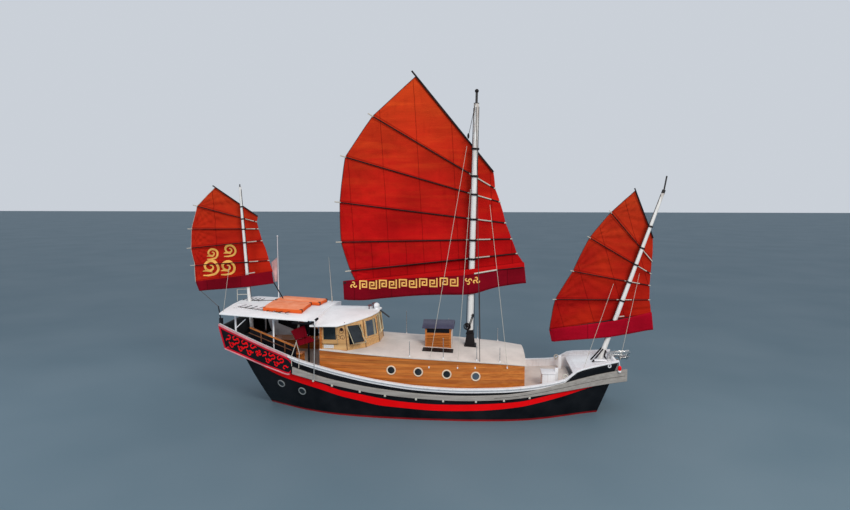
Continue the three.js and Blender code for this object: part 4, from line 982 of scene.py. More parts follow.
# %% Corners of the three sails, in metres, from the yard down to the skirt
SAILS = {
    "main": {"plane": 0.300, "cover_far": 0.36,
             "leech": [(-.79, 12.76), (-2.32, 11.10), (-3.41, 9.55), (-3.65, 7.79), (-3.62, 6.23),
                       (-3.26, 5.09), (-3.56, 4.60), (-3.53, 3.92)],
             "luff": [(2.33, 8.95), (2.40, 8.32), (2.59, 7.81), (2.81, 7.01), (3.05, 6.40),
                      (3.26, 5.84), (3.54, 5.44), (3.62, 4.78)]},
    "fore": {"plane": 0.230, "cover_far": 0.29,
             "leech": [(7.56, 8.33), (6.73, 7.42), (5.97, 6.47), (5.38, 5.19), (4.74, 4.09),
                       (4.54, 2.88), (4.64, 2.44)],
             "luff": [(8.29, 6.48), (8.28, 5.61), (8.25, 5.13), (8.23, 4.68), (8.24, 4.13),
                      (8.33, 3.60), (8.40, 3.00)]},
    "mizzen": {"plane": 0.215, "cover_far": 0.27,
               "leech": [(-8.76, 8.45), (-9.46, 7.64), (-9.72, 6.72), (-9.78, 5.95), (-9.65, 5.25),
                         (-9.63, 4.56), (-9.50, 4.21)],
               "luff": [(-6.95, 7.24), (-7.01, 7.02), (-6.95, 6.74), (-6.80, 6.27), (-6.54, 5.48),
                        (-6.40, 5.01), (-6.34, 4.56)]},
}
SPAR_RADIUS = {
    "main": {"yard": 0.034, "batten": 0.022, "boom": 0.03},
    "fore": {"yard": 0.024, "batten": 0.015, "boom": 0.025},
    "mizzen": {"yard": 0.024, "batten": 0.016, "boom": 0.025},
}
for name, sail in SAILS.items():
    print(name, "panels:", len(sail["leech"]) - 2)


# %% Sailcloth
# The band at these distances from each batten is darker: a painted shadow of the batten on the cloth.
BATTEN_SHADOW, SEWN_HALF = (0.045, 0.085), 0.011


def sailcloth(name, deep, bright, orange, top, low, seam, half_below, lean, above=None):
    """Red cloth, more orange to the top, with sewn seams every so far along the foot, and a painted shadow of
    each batten on the cloth beside it.
    """
    material, tree, shader = new_material(name, bright, 0.9, shine=0.04)
    at = axes(tree)
    climb = calc(tree, "POWER", span(tree, at["Z"], low, top), 3.0)
    stains = speckle(tree, place(tree, (3, 3, 0.8)), 1.1, detail=6.0, low=0.55, high=0.85)
    streaks = speckle(tree, place(tree, (0.35, 1, 3.2), (0, 0.25, 0)), 1.3, detail=5.0, low=0.45, high=0.75)
    slanted = calc(tree, "ADD", at["X"], times(tree, at["Z"], lean))
    lower = calc(tree, "LESS_THAN", at["Z"], half_below)
    width = calc(tree, "SUBTRACT", seam, times(tree, lower, seam / 2))
    share = calc(tree, "FRACT", calc(tree, "DIVIDE", slanted, width))
    off = times(tree, calc(tree, "ABSOLUTE", calc(tree, "SUBTRACT", share, 0.5)), width)
    near = calc(tree, "SUBTRACT", times(tree, width, 0.5), off)
    sewn = calc(tree, "LESS_THAN", near, SEWN_HALF)
    # A band just off each batten is darkened: a painted shadow of the batten.
    batten_shadow = between(tree, attribute(tree, "to_batten"), *BATTEN_SHADOW)
    tone = blend(tree, speckle(tree, place(tree), 0.55, detail=4.0), deep, bright)
    for mask, strength, colour in (
            (climb, 0.75, orange), (stains, 0.35, shade(deep, 0.55)),
            (times(tree, streaks, calc(tree, "ADD", climb, 0.08)), 0.6, shade(orange, 1.3)),
            (sewn, 0.6, shade(deep, 0.3)), (batten_shadow, 0.45, shade(deep, 0.4))):
        tone = blend(tree, times(tree, mask, strength), tone, colour)
    if above:
        tone = blend(tree, calc(tree, "GREATER_THAN", attribute(tree, "above_line"), 0.0), tone, above)
    cover(tree, shader, tone)
    weave = node(tree, "ShaderNodeTexWave", Scale=55.0, Distortion=0.4)
    link(tree, place(tree, (1, 1, 1), (0, 0.8, 0)), weave.inputs["Vector"])
    first = emboss(tree, shader, weave.outputs["Fac"], 0.0006, 0.25)
    second = emboss(tree, shader, sewn, 0.004, 0.5, under=first)
    creases = speckle(tree, place(tree, (1.2, 1.2, 3.0), (0, 0.5, 0)), 0.9, detail=5.0, low=0.3, high=0.7)
    emboss(tree, shader, creases, 0.05, 0.35, under=second)
    return material


def cover_cloth(name, deep, bright, orange, above=None):
    return sailcloth(name, deep, bright, orange, 13.0, 2.0, 1.5, 0.0, 0.02, above)


RED_DEEP, RED_BRIGHT, RED_ORANGE = (0.36, 0.003, 0.005), (0.55, 0.006, 0.007), (0.70, 0.085, 0.014)
CRIMSON = ((0.13, 0.002, 0.007), (0.21, 0.003, 0.011), (0.2, 0.005, 0.014))
cloths = {
    "main": sailcloth("main_cloth", RED_DEEP, RED_BRIGHT, RED_ORANGE, 12.8, 4.0, 1.37, 6.3, 0.06),
    "fore": sailcloth("fore_cloth", (0.30, 0.003, 0.005), (0.44, 0.016, 0.006), (0.52, 0.055, 0.012),
                      8.4, 2.4, 1.2, 2.0, 0.3),
    "mizzen": sailcloth("mizzen_cloth", RED_DEEP, (0.52, 0.020, 0.007), (0.56, 0.055, 0.012), 8.5, 4.2,
                        1.2, 2.0, 0.05),
}
covers = {
    "main": cover_cloth("main_crimson", *CRIMSON, above=(0.46, 0.005, 0.006)),
    "fore": cover_cloth("bright_cover", (0.27, 0.002, 0.011), (0.39, 0.003, 0.017), (0.4, 0.01, 0.02)),
    "mizzen": cover_cloth("crimson_cover", *CRIMSON),
}
print("cloth dyed")

# %% Where a point of the cloth lies
PANEL_ROWS, ACROSS = 16, 96
PEAK_IN, FOOT_IN = 0.05, 0.075
HOLLOW, LUFF_OUT = -0.012, 0.02
CLOTH_THICK, CLOTH_OFF, SLACK = 0.004, 0.006, 0.012
FAN_DEEP, FAN_FOLDS, FAN_REACH, FAN_START = 0.026, 19, 2.2, 0.35
TAUT_SHARE = 0.12
STAY_ROOM, STAY_SWING = 0.028, math.radians(36)


def edge_point(edge, panel, t):
    (x0, z0), (x1, z1) = edge[panel], edge[panel + 1]
    return Vector((x0 + (x1 - x0) * t, 0, z0 + (z1 - z0) * t))


def stay_room(point):
    """How far the main cloth may bulge beside the port shroud, at any angle that it swings to."""
    below, axis_x = 11.40 - point.z, 1.436 + 0.0204 * point.z
    shroud = Vector((1.664 + 0.0237 * below - axis_x, 0.125 + 0.1731 * below))
    reach, start = shroud.length, math.atan2(shroud.x, shroud.y)
    ahead = point.x - axis_x
    swept = max(min(ahead, reach * math.sin(start + STAY_SWING)), reach * math.sin(start - STAY_SWING))
    room = math.sqrt(reach ** 2 - swept ** 2) - STAY_ROOM - SAILS["main"]["plane"]
    return max(room, CLOTH_OFF) + abs(ahead - swept) * 1.5


def cloth_point(name, panel, t, u, belly=0.10):
    """A point in a panel: t from its upper batten down, u from the leech to the luff."""
    sail = SAILS[name]
    last = panel == len(sail["leech"]) - 3
    leech, luff = edge_point(sail["leech"], panel, t), edge_point(sail["luff"], panel, t)
    if panel == 0:
        leech = leech.lerp(luff, PEAK_IN * (1 - t))
    if name == "main" and last:
        leech = leech.lerp(luff, FOOT_IN * t)
    arch = 4 * t * (1 - t)
    leech.x += HOLLOW * (sail["leech"][panel][1] - sail["leech"][panel + 1][1]) * arch
    luff.x += LUFF_OUT * arch * abs(sail["luff"][panel][1] - sail["luff"][panel + 1][1])
    point = leech.lerp(luff, u)
    full = belly * math.sin(math.pi * u) ** 0.7 * math.sin(math.pi * t) ** 0.8
    fan = 0.0
    for row in (panel, panel + 1):
        corner_x, corner_z = sail["leech"][row]
        offset = point - Vector((corner_x, 0, corner_z))
        reach = offset.length
        if reach > 0.05:
            angle = math.atan2(offset.z, offset.x)
            fan += (FAN_DEEP * math.sin(angle * FAN_FOLDS + row) * math.exp(-reach / FAN_REACH)
                    * min(reach / FAN_START, 1))
    ripple = 0.03 * noise.noise(Vector((point.x * 0.7, row, point.z * 2.4)))
    if name == "fore" and last:
        ripple += 0.05 * math.sin(7.0 * t + 3.2 * u * u) * (1 - u * 0.4) * math.sin(math.pi * min(t * 1.3, 1))
    edge = min(t, 1 - t, TAUT_SHARE) / TAUT_SHARE
    bulge = CLOTH_OFF + full * 0.9 + max(fan + ripple + SLACK, -0.002) * edge
    if name == "main":
        bulge = min(bulge, stay_room(point))
    point.y = sail["plane"] + bulge
    return point


def make_cloth(name, panels, belly):
    """The cloth from the yard to the boom as one grid, each vertex moved to its place."""
    shape = bmesh.new()
    uv = shape.loops.layers.uv.new("cloth")
    # Distance to the nearest batten, read by the cloth's painted batten shadow.
    batten_distance = shape.verts.layers.float.new("to_batten")
    leech = SAILS[name]["leech"]
    grid = bmesh.ops.create_grid(shape, x_segments=ACROSS, y_segments=panels * PANEL_ROWS, size=0.5)["verts"]
    for vert in grid:
        u, down = vert.co.x + 0.5, (0.5 - vert.co.y) * panels
        panel = min(int(down), panels - 1)
        t = down - panel
        vert.co = cloth_point(name, panel, t, u, belly)
        vert[batten_distance] = min(t, 1 - t) * (leech[panel][1] - leech[panel + 1][1])
    for face in shape.faces:
        for loop in face.loops:
            loop[uv].uv = (loop.vert.co.x, loop.vert.co.z)
    return shape


sail_pieces = {}
for name, sail in SAILS.items():
    panels = len(sail["leech"]) - 2
    shape = make_cloth(name, panels, 0.10 if name == "main" else 0.07)
    area = sum(face.calc_area() for face in shape.faces)
    piece = add_piece(f"{name}_sail_cloth", shape, cloths[name], f"{name}_sail", smooth=60)
    stiffen(piece, CLOTH_THICK, 1)
    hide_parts(f"{name}_sail")
    sail_pieces[name] = piece
    wide = max(x for x, _ in sail["luff"]) - min(x for x, _ in sail["leech"])
    tall = sail["leech"][0][1] - min(sail["leech"][panels][1], sail["luff"][panels][1])
    sail["flat"] = (round(wide, 2), round(tall, 2), round(area, 2))
    print(name, "cloth", sail["flat"])

# %% Ropes sewn along the cloths' aft edges
for name, sail in SAILS.items():
    panels = len(sail["leech"]) - 2
    shape = bmesh.new()
    points = [cloth_point(name, panel, t / 8, 0.0) for panel in range(panels) for t in range(8)]
    points.append(cloth_point(name, panels - 1, 1.0, 0.0))
    add_bars(shape, zip(points, points[1:]), 0.011)
    add_piece(f"{name}_edge_rope", shape, "rope" if name == "mizzen" else "dark_rope", f"{name}_sail",
              smooth=60)
print("edges roped")

# %% The crimson cover round the boom, in front of the mast and behind the sail's plane
def mast_x(mast, z):
    (x0, _, z0), (x1, _, z1) = mast["foot"], mast["head"]
    return x0 + (x1 - x0) * (z - z0) / (z1 - z0)


FOOT_LINE = {
    "x": [-3.51, -2.65, -1.60, -0.64, 0.33, 1.18, 1.67, 2.50, 3.00, 3.46],
    "z": [4.694, 4.732, 4.808, 4.886, 4.965, 5.022, 5.101, 5.234, 5.273, 5.315],
}
FOOT_HANG = {
    "x": [-3.47, -2.63, -1.84, -1.08, 0.18, 1.10, 1.43, 1.84, 2.15, 2.62, 3.12, 3.58],
    "drop": [0.0, 0.085, 0.069, 0.071, 0.119, 0.204, 0.225, 0.192, 0.130, 0.075, 0.069, 0.075],
}


COVER_ACROSS, COVER_DOWN, COVER_UP = 72, 8, 0.11
COVER_ROUND, COVER_CLEAR = 0.06, 0.075


def make_cover(name, mast):
    """A long flat bag: a near and a far wall that meet at both ends, open above and below."""
    sail = SAILS[name]
    leech, luff = sail["leech"][-2:], sail["luff"][-2:]
    shape = bmesh.new()
    near_y = -(mast["low"] + COVER_ROUND)
    rings = []
    for i in range(COVER_DOWN + 1):
        t = -COVER_UP + (1 + COVER_UP) * i / COVER_DOWN
        a, b = edge_point(leech, 0, t), edge_point(luff, 0, t)
        centre = mast_x(mast, (a.z + b.z) / 2)
        ring = []
        for j in range(COVER_ACROSS):
            s = 2 * j / COVER_ACROSS
            point = a.lerp(b, s if s <= 1 else 2 - s)
            end = a if point.x < centre else b
            bulge = max(0.0, 1 - max((centre - point.x) / (centre - end.x), 0.0) ** 1.35)
            wave = 0.010 * noise.noise(Vector((point.x * 1.3, s, point.z * 2.0)))
            if s > 1:
                point.y = sail["cover_far"] + 0.012 + wave
            elif j:
                front = sail["plane"] * (1 - bulge) + near_y * bulge + wave
                point.y = min(front, sail["plane"] - COVER_CLEAR)
            else:
                point.y = sail["plane"] + 0.02
            if name == "main":
                point.z -= read(FOOT_HANG, "drop", point.x) * max(t, 0.0)
            ring.append(point)
        rings.append(ring)
    stretch_skin(shape, rings, capped=False)
    if name == "main":
        line = shape.verts.layers.float.new("above_line")
        for vert in shape.verts:
            vert[line] = vert.co.z - read(FOOT_LINE, "z", vert.co.x)
    return shape


cover_pieces = {}
for name, sail in SAILS.items():
    piece = add_piece(f"{name}_foot_cover", make_cover(name, MASTS[name]), covers[name], f"{name}_sail",
                      smooth=60)
    stiffen(piece, CLOTH_THICK, 1)
    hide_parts(f"{name}_sail")
    cover_pieces[name] = piece
    (x0, z0), (x1, z1) = sail["leech"][-2:]
    (x2, z2), (_, z3) = sail["luff"][-2:]
    tall = ((z0 - z1) + (z2 - z3)) / 2 * 1.15 + (0.09 if name == "main" else 0.0)
    wide = math.hypot(x2 - x0, z2 - z0) * 2.02
    print(name, "cover", round(wide, 2), "x", round(tall, 2))

# %% Yards, battens and booms with their white sleeves and tips
FOOT_SLEEVES = {
    "main": ((1.64, -0.215, 5.10), (2.48, -0.045, 5.235), 0.030),
    "fore": ((7.06, -0.185, 3.545), (7.24, -0.165, 3.565), 0.018),
    "mizzen": ((-7.33, -0.165, 4.98), (-7.00, -0.120, 5.035), 0.018),
}
SLEEVE, SLEEVE_FORE, SLEEVE_PROUD = 0.26, 0.68, 0.003
TIP_OUT = {"main": 0.20, "fore": 0.10, "mizzen": 0.16}
TIP_PROUD = 0.002

for name, sail in SAILS.items():
    last = len(sail["leech"]) - 2
    sleeves, tips = bmesh.new(), bmesh.new()
    for row in range(last + 1):
        kind = "yard" if row == 0 else "boom" if row == last else "batten"
        spar_name = f"{name}_{kind}" if kind != "batten" else f"{name}_batten_{last - row}"
        radius = SPAR_RADIUS[name][kind]
        start, end = (edge_point((sail["leech"][row], sail["luff"][row]), 0, share) for share in (0, 1))
        start.y = end.y = sail["plane"] + 0.004 - radius
        if kind == "boom":
            inset = (end - start).normalized() * 0.04
            start, end = start + inset, end - inset
        shape = bmesh.new()
        add_bar(shape, start, end, radius, sides=20)
        piece = add_piece(f"{spar_name}_spar", shape, "spar_black", f"{name}_sail")
        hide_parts(spar_name)
        if kind == "batten":
            direction = (end - start) / (end - start).length
            middle = mast_x(MASTS[name], (start.z + end.z) / 2)
            at = start.lerp(end, (middle - start.x) / (end.x - start.x))
            scale = 1.0 if name == "main" else 0.6
            add_bar(sleeves, at - direction * SLEEVE * scale, at + direction * SLEEVE_FORE * scale,
                    radius + SLEEVE_PROUD, sides=16)
            add_bar(tips, start - direction * TIP_OUT[name], start + direction * 0.04, radius + TIP_PROUD,
                    sides=16)
            add_bar(tips, end - direction * 0.05, end + direction * 0.03, radius + TIP_PROUD, sides=16)
    add_bar(sleeves, *FOOT_SLEEVES[name], sides=16)
    if name == "main":
        line = bmesh.new()
        add_bar(line, (2.46, -0.040, 5.230), (3.50, 0.185, 5.325), 0.015, sides=10)
        add_piece("main_foot_line", line, "spar_black", "main_sail")
    add_piece(f"{name}_chafe_sleeves", sleeves, "ring", f"{name}_sail")
    add_piece(f"{name}_batten_tips", tips, "rope", f"{name}_sail")
print("spars sleeved")

for name, sail in SAILS.items():
    wide, tall, area = sail["flat"]
    repaint(f"{name}_parrels", "spar_black")

# %% [markdown]
# ## Poop sides
# Under the poop roof each side has white posts and a rail that slopes down forward. Below the
# rail the frame is black, above it a varnished handrail. They are one imported solid, so
# its copy takes its colour face by face: a face belongs to the part that its middle lies in.

# %% Posts, screens and handrails
RAIL_AFT, RAIL_FORE = Vector((-6.68, 0, 3.12)), Vector((-4.94, 0, 2.43))


def rail_height(x):
    return RAIL_AFT.z + (RAIL_FORE.z - RAIL_AFT.z) * (x - RAIL_AFT.x) / (RAIL_FORE.x - RAIL_AFT.x)


POST_Y, RAIL_REACH, RAIL_MIDDLE = 1.55, 0.05, 0.022
SCREEN_Y, SCREEN_HALF = 1.595, 0.0215
PANEL_FROM, PANEL_TOP = -4.52, 3.38
for side_name in SIDES:
    frame_piece = eased_copy(f"roof_frame_{side_name}", ["white", "black", "varnish"], 0.003, "spar_white")
    for face in frame_piece.data.polygons:
        x, y, z = face.center
        off, rail = abs(abs(y) - POST_Y), rail_height(x)
        on_rail = RAIL_AFT.x - 0.02 < x < RAIL_FORE.x + 0.02
        if on_rail and off < RAIL_REACH and abs(z - rail - RAIL_MIDDLE) < RAIL_REACH:
            face.material_index = 2
        elif on_rail and off < SCREEN_HALF and z < rail or x > PANEL_FROM and z < PANEL_TOP:
            face.material_index = 1
uprights, braces = bmesh.new(), bmesh.new()
for side in SIDES.values():
    for x in (-6.25, -5.35):
        add_box(uprights, (x - 0.02, side * SCREEN_Y - 0.012, rail_height(x) - 0.42),
                (x + 0.02, side * SCREEN_Y + 0.012, rail_height(x) + 0.01), 0.004)
    add_bar(uprights, (-6.72, side * 1.585, 2.95), (-5.1, side * 1.585, 2.32), 0.016)
    add_bar(braces, (-7.24, side * POST_Y, 3.10), (-6.85, side * POST_Y, 3.45), 0.018)
add_piece("screen_uprights", uprights, "dark_wood")
add_piece("post_braces", braces, "white")
print("poop sides painted")

# %% Benches and a table on the poop
SLAT_GAP = 0.012


def slatted(shape, low, high, count):
    """Slats along X that fill a flat box, with a gap between each two."""
    (x0, y0, z0), (x1, y1, z1) = low, high
    pitch = (y1 - y0) / count
    for i in range(count):
        near, far = y0 + i * pitch + SLAT_GAP / 2, y0 + (i + 1) * pitch - SLAT_GAP / 2
        add_box(shape, (x0, near, z0), (x1, far, z1), 0.006)


shape = bmesh.new()
for side in SIDES.values():
    inner, outer = sorted((side * 1.02, side * 1.46))
    slatted(shape, (-6.85, inner, 2.13), (-4.75, outer, 2.16), 5)
    add_box(shape, (-6.83, side * 1.03 - 0.012, 1.71), (-4.77, side * 1.03 + 0.012, 2.128), 0.004)
slatted(shape, (-6.25, -0.42, 2.40), (-5.15, 0.42, 2.43), 8)
for x in (-6.0, -5.4):
    add_box(shape, (x - 0.04, -0.04, 1.70), (x + 0.04, 0.04, 2.40), 0.006)
for y in (-0.30, 0.26):
    add_box(shape, (-6.1, y, 2.36), (-5.3, y + 0.04, 2.40), 0.004)
add_piece("poop_benches", shape, "varnish")
print("benches and table built")

# %% [markdown]
# ## Windows and portlights
# Each pane sits back in its opening, behind a frame that stands a little proud of the wall.
# The wheelhouse walls lean, so a corner is found on its wall by a share along the foot and head
# lines and by its height. One starboard window hangs open from its top edge.

# %% Corners of a window on a leaning wall
HOUSE_LINES = {
    2.30: [(-4.0, 1.69), (-2.95, 1.69), (-2.33, 1.25), (-1.95, 0.45)],
    3.75: [(-4.0, 1.69), (-3.08, 1.69), (-2.50, 1.23), (-2.13, 0.44)],
}
WINDOWS = [
    # wall, from, to, sill, head
    (0, .13, .63, 2.67, 3.28), (1, .14, .68, 2.60, 3.30), (2, .17, .68, 2.79, 3.37),
    (2, .76, .96, 2.80, 3.40), (3, .05, .47, 2.80, 3.43), (3, .53, .95, 2.80, 3.43),
    (4, .04, .24, 2.80, 3.40), (4, .32, .83, 2.79, 3.37), (5, .32, .86, 2.60, 3.30),
    (6, .37, .87, 2.67, 3.28),
]
OPEN_WALL, OPEN_ANGLE = 5, 0.62


def wall_point(wall, share, z):
    """A point on a wheelhouse wall; walls run from port aft round the front to starboard aft."""
    ends = []
    for level, line in HOUSE_LINES.items():
        around = line + [(x, -y) for x, y in reversed(line)]
        first, second = (Vector((*around[i], level)) for i in (wall, wall + 1))
        ends.append(first.lerp(second, share))
    (low, high) = HOUSE_LINES
    return ends[0].lerp(ends[1], (z - low) / (high - low))


def window_corners(wall, start, end, sill, head):
    return [wall_point(wall, *at) for at in ((start, sill), (end, sill), (end, head), (start, head))]


print("window corners on", len(WINDOWS), "openings")

# %% A frame round flat corners, and a plate over them
def outward(corners):
    return (corners[2] - corners[1]).cross(corners[1] - corners[0]).normalized()


def thicken(shape, faces, along):
    """Closes flat faces into a solid by carrying a copy of them along a vector."""
    grown = bmesh.ops.extrude_face_region(shape, geom=faces, use_keep_orig=True)["geom"]
    bmesh.ops.translate(shape, vec=along, verts=only("BMVert", grown))


def add_plate(shape, corners, back, thick):
    """A plate over flat corners, set back from them and thickened inwards."""
    normal = outward(corners)
    face = shape.faces.new([shape.verts.new(c - normal * back) for c in corners])
    thicken(shape, [face], -normal * thick)


def add_frame(shape, corners, wide, proud, deep):
    """A frame round flat corners: a wider face, inset, its middle taken out, thickened."""
    normal = outward(corners)
    middle = sum(corners, Vector()) / len(corners)
    across = (corners[1] - corners[0]).normalized()
    up = (corners[3] - corners[0]).normalized()
    grown = []
    for corner in corners:
        offset = corner - middle
        step = across * math.copysign(wide, offset.dot(across)) + up * math.copysign(wide, offset.dot(up))
        grown.append(shape.verts.new(corner + step + normal * proud))
    face = shape.faces.new(grown)
    ring = bmesh.ops.inset_individual(shape, faces=[face], thickness=wide + 0.014, use_even_offset=True)
    bmesh.ops.delete(shape, geom=[face], context="FACES")
    thicken(shape, ring["faces"], -normal * (proud + deep))


frames, panes, pale_panes, openings = bmesh.new(), bmesh.new(), bmesh.new(), bmesh.new()
for wall, start, end, sill, head in WINDOWS:
    corners = window_corners(wall, start, end, sill, head)
    if wall == OPEN_WALL:
        hinge = (corners[3] - corners[2]).normalized()
        about = Matrix.Translation(corners[2])
        for angle in (OPEN_ANGLE, -OPEN_ANGLE):
            swung = [about @ Matrix.Rotation(angle, 4, hinge) @ about.inverted() @ c for c in corners]
            if (swung[0] - corners[0]).dot(outward(corners)) > 0:
                break
        add_frame(frames, corners, 0.03, 0.008, 0.03)
        # a black plate over the opening: painted shade of the room behind the open sash
        add_plate(openings, corners, -0.004, 0.004)
        corners = [c + outward(corners) * 0.03 for c in swung]
    add_frame(frames, corners, 0.046, 0.040, 0.030)
    add_plate(pale_panes if wall in (2, 4) else panes, corners, 0.008, 0.006)
# The paler glass, on the two front walls and in the fore portlights, is a painted reflection of the sky.
finish["pale_glass"] = dark_glass("sky_in_glass", (0.05, 0.075, 0.105), (0.16, 0.20, 0.24))
strips = bmesh.new()
for corner in range(7):
    add_bar(strips, wall_point(corner, 0, 2.42), wall_point(corner, 0, 3.44), 0.016, sides=10)
add_piece("corner_strips", strips, "dark_wood", smooth=50)
finish["frame_cream"] = paint("frame_cream", (0.95, 0.86, 0.66), 0.45, drift=0.10)
add_piece("window_frames", frames, "frame_cream", smooth=20)
add_piece("open_window_hole", openings, "black")
add_piece("window_panes", panes, "glass")
add_piece("pale_panes", pale_panes, "pale_glass")
print("windows glazed")

# %% Round lights in the trunk and in the hull
ROUND_LIGHTS = [
    # surface, x, z, ring radius, ring thickness
    (trunk, -1.32, 1.74, 0.150, 0.026), (trunk, -0.33, 1.70, 0.150, 0.026), (trunk, 0.70, 1.64, 0.150, 0.026),
    (trunk, 1.74, 1.57, 0.150, 0.026), (hull, -5.51, 1.05, 0.136, 0.024), (hull, -4.66, 0.84, 0.136, 0.024),
]
FEEL = 0.175
HULL_PROUD, RING_PROUD = 0.018, 0.004


def seat_on(surface, x, z, side, reach=FEEL):
    """The middle and the outward normal of a side where a round fitting sits."""
    felt = [feel(surface, x + dx, z + dz, side)
            for dx, dz in ((reach, 0), (-reach, 0), (0, reach), (0, -reach))]
    normal = (felt[0] - felt[1]).cross(felt[2] - felt[3]).normalized()
    if normal.y * side < 0:
        normal.negate()
    return sum(felt, Vector()) / 4, normal


def add_disc(shape, centre, normal, radius, thick):
    bmesh.ops.create_cone(shape, cap_ends=True, segments=32, radius1=radius, radius2=radius,
                          depth=thick, matrix=Matrix.Translation(centre) @ upright_to(normal))


# Portlights forward of x 1.5 take the paler glass, a painted reflection of the sky.
rings = {"trunk": bmesh.new(), "hull": bmesh.new()}
discs, pale_discs = bmesh.new(), bmesh.new()
for wall_piece, x, z, radius, thick in ROUND_LIGHTS:
    surface = surface_of(wall_piece)
    where = "hull" if wall_piece is hull else "trunk"
    for side in SIDES.values():
        centre, normal = seat_on(surface, x, z, side)
        centre = centre + normal * (HULL_PROUD if where == "hull" else 0.0)
        centre = centre + normal * RING_PROUD
        add_ring(rings[where], centre, normal, radius, thick, around=36, section=10)
        add_disc(pale_discs if x > 1.5 else discs, centre, normal, radius - 0.006, 0.012)
add_piece("portlight_rings", rings["trunk"], "peach", smooth=60)
add_piece("hull_light_rings", rings["hull"], "dull_grey", smooth=60)
add_piece("portlight_glass", discs, "glass")
add_piece("portlight_pale_glass", pale_discs, "pale_glass")
print("round lights set")

# %% The wheelhouse side: a flush panel below the window and a carved one before it
for side_name, side in SIDES.items():
    shape = bmesh.new()
    add_box(shape, (-3.985, side * 1.70 - 0.022, 2.31), (-3.90, side * 1.70 + 0.022, 3.32), 0.006)
    inner, outer = sorted((side * 1.69, side * 1.72))
    add_box(shape, (-3.99, inner, 2.32), (-2.97, outer, 2.40), 0.008)
    add_piece(f"side_panel_{side_name}", shape, "varnish", smooth=25)
    slats = bmesh.new()
    for z in (2.47, 2.515, 2.56):
        add_box(slats, (-3.84, inner, z), (-3.46, outer, z + 0.03), 0.006)
    add_piece(f"vent_slats_{side_name}", slats, "white", smooth=25)
    carving = bmesh.new()
    for x, z, heading in ((-3.24, 2.82, 60), (-3.06, 2.90, 120), (-3.22, 3.03, -20)):
        ribbon(carving, (x, z), heading, 0.022, [(0.09, 120), (0.055, 140), (0.03, 120)])
        ribbon(carving, (x, z), heading + 170, 0.02, [(0.07, -90), (0.04, -120)])
    surface = surface_of(house)
    laid_on(carving, surface, 0.002, 0.006, side)
    add_piece(f"carving_{side_name}", carving, "dark_wood")
    centre, normal = seat_on(surface, -3.17, 3.17, side, reach=0.06)
    centre = centre + normal * 0.003
    hole, rim = bmesh.new(), bmesh.new()
    # The black disc stands for the open hole: painted shade inside it.
    add_disc(hole, centre, normal, 0.055, 0.006)
    add_ring(rim, centre, normal, 0.058, 0.011)
    add_piece(f"speaking_hole_{side_name}", hole, "spar_black")
    add_piece(f"speaking_ring_{side_name}", rim, "dark_wood", smooth=60)
print("wheelhouse sides finished")

# %% [markdown]
# ## Gear on the roofs
# The poop roof carries two foam floats with dark buckled corners, a stack of thin rods, and the
# folded frame of a sun awning. On the wheelhouse roof a white dome, two horns and a black visor
# mark its front edge. Everything stands on the roof where a line dropped from above meets it.

# %% Finding the roof below a point
def top_of(surface, x, y):
    """The height of a roof at a place."""
    return surface.ray_cast(Vector((x, y, 20)), Vector((0, 0, -1)))[0].z


on_poop_roof, on_house_roof, on_cabin_roof = (surface_of(r) for r in (poop_roof, house_roof, cabin_roof))
print("poop roof height on the centre line:", round(top_of(on_poop_roof, -6, 0), 3))

# %% The apron that closes the step between the two roofs
(_, _, _), (roof_front, roof_half, _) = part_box("aft_roof")
APRON_REACH, APRON_LAP, APRON_THICK = 0.27, 0.05, 0.022
HOUSE_ROOF_HALF = 1.78
front, back = roof_front + APRON_REACH, roof_front - APRON_LAP
rings = []
for y in spaced(-roof_half, roof_half, 33):
    inner_y = max(min(y, roof_half - 0.02), 0.02 - roof_half)
    under = max(min(y, HOUSE_ROOF_HALF), -HOUSE_ROOF_HALF)
    top = top_of(on_poop_roof, roof_front - 0.03, inner_y) + 0.003
    foot = min(top_of(on_house_roof, front, under) + 0.002, top - 0.02)
    rings.append([(back, y, top), (front, y, top - 0.012), (front, y, foot), (front - 0.025, y, foot),
                  (front - 0.025, y, top - 0.012 - APRON_THICK), (back, y, top - APRON_THICK)])
shape = bmesh.new()
stretch_skin(shape, rings)
add_piece("roof_apron", shape, "roof", smooth=25)
print("apron fitted ahead of x", round(roof_front, 3))

# %% Floats with buckled corners
def float_cover():
    """Faded orange canvas with painted light: salmon on top where it faces the sky, and a painted shade of
    deeper orange on its sides.
    """
    material, tree, shader = new_material("float_cover", (0.9, 0.3, 0.12), 0.75, shine=0.1)
    painted_light_facing = axes(tree, node(tree, "ShaderNodeNewGeometry").outputs["Normal"])["Z"]
    top = blend(tree, speckle(tree, place(tree), 3.0, detail=5.0), (0.86, 0.24, 0.10), (0.95, 0.36, 0.20))
    cover(tree, shader, blend(tree, span(tree, painted_light_facing, 0.5, 0.95), (0.72, 0.11, 0.02), top))
    return material


finish["float"] = float_cover()
caps = bmesh.new()
for name in ("float_1", "float_2"):
    eased_copy(name, "float", 0.045, "float_orange")
    (x0, y0, _), (x1, y1, _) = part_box(name)
    for x in (x0 + 0.05, x1 - 0.05):
        for y in (y0 + 0.07, y1 - 0.07):
            z = top_of(on_poop_roof, x, y)
            add_box(caps, (x - 0.05, y - 0.055, z + 0.015), (x + 0.05, y + 0.055, z + 0.148), 0.012)
add_piece("float_buckles", caps, "spar_black")
print("floats buckled")

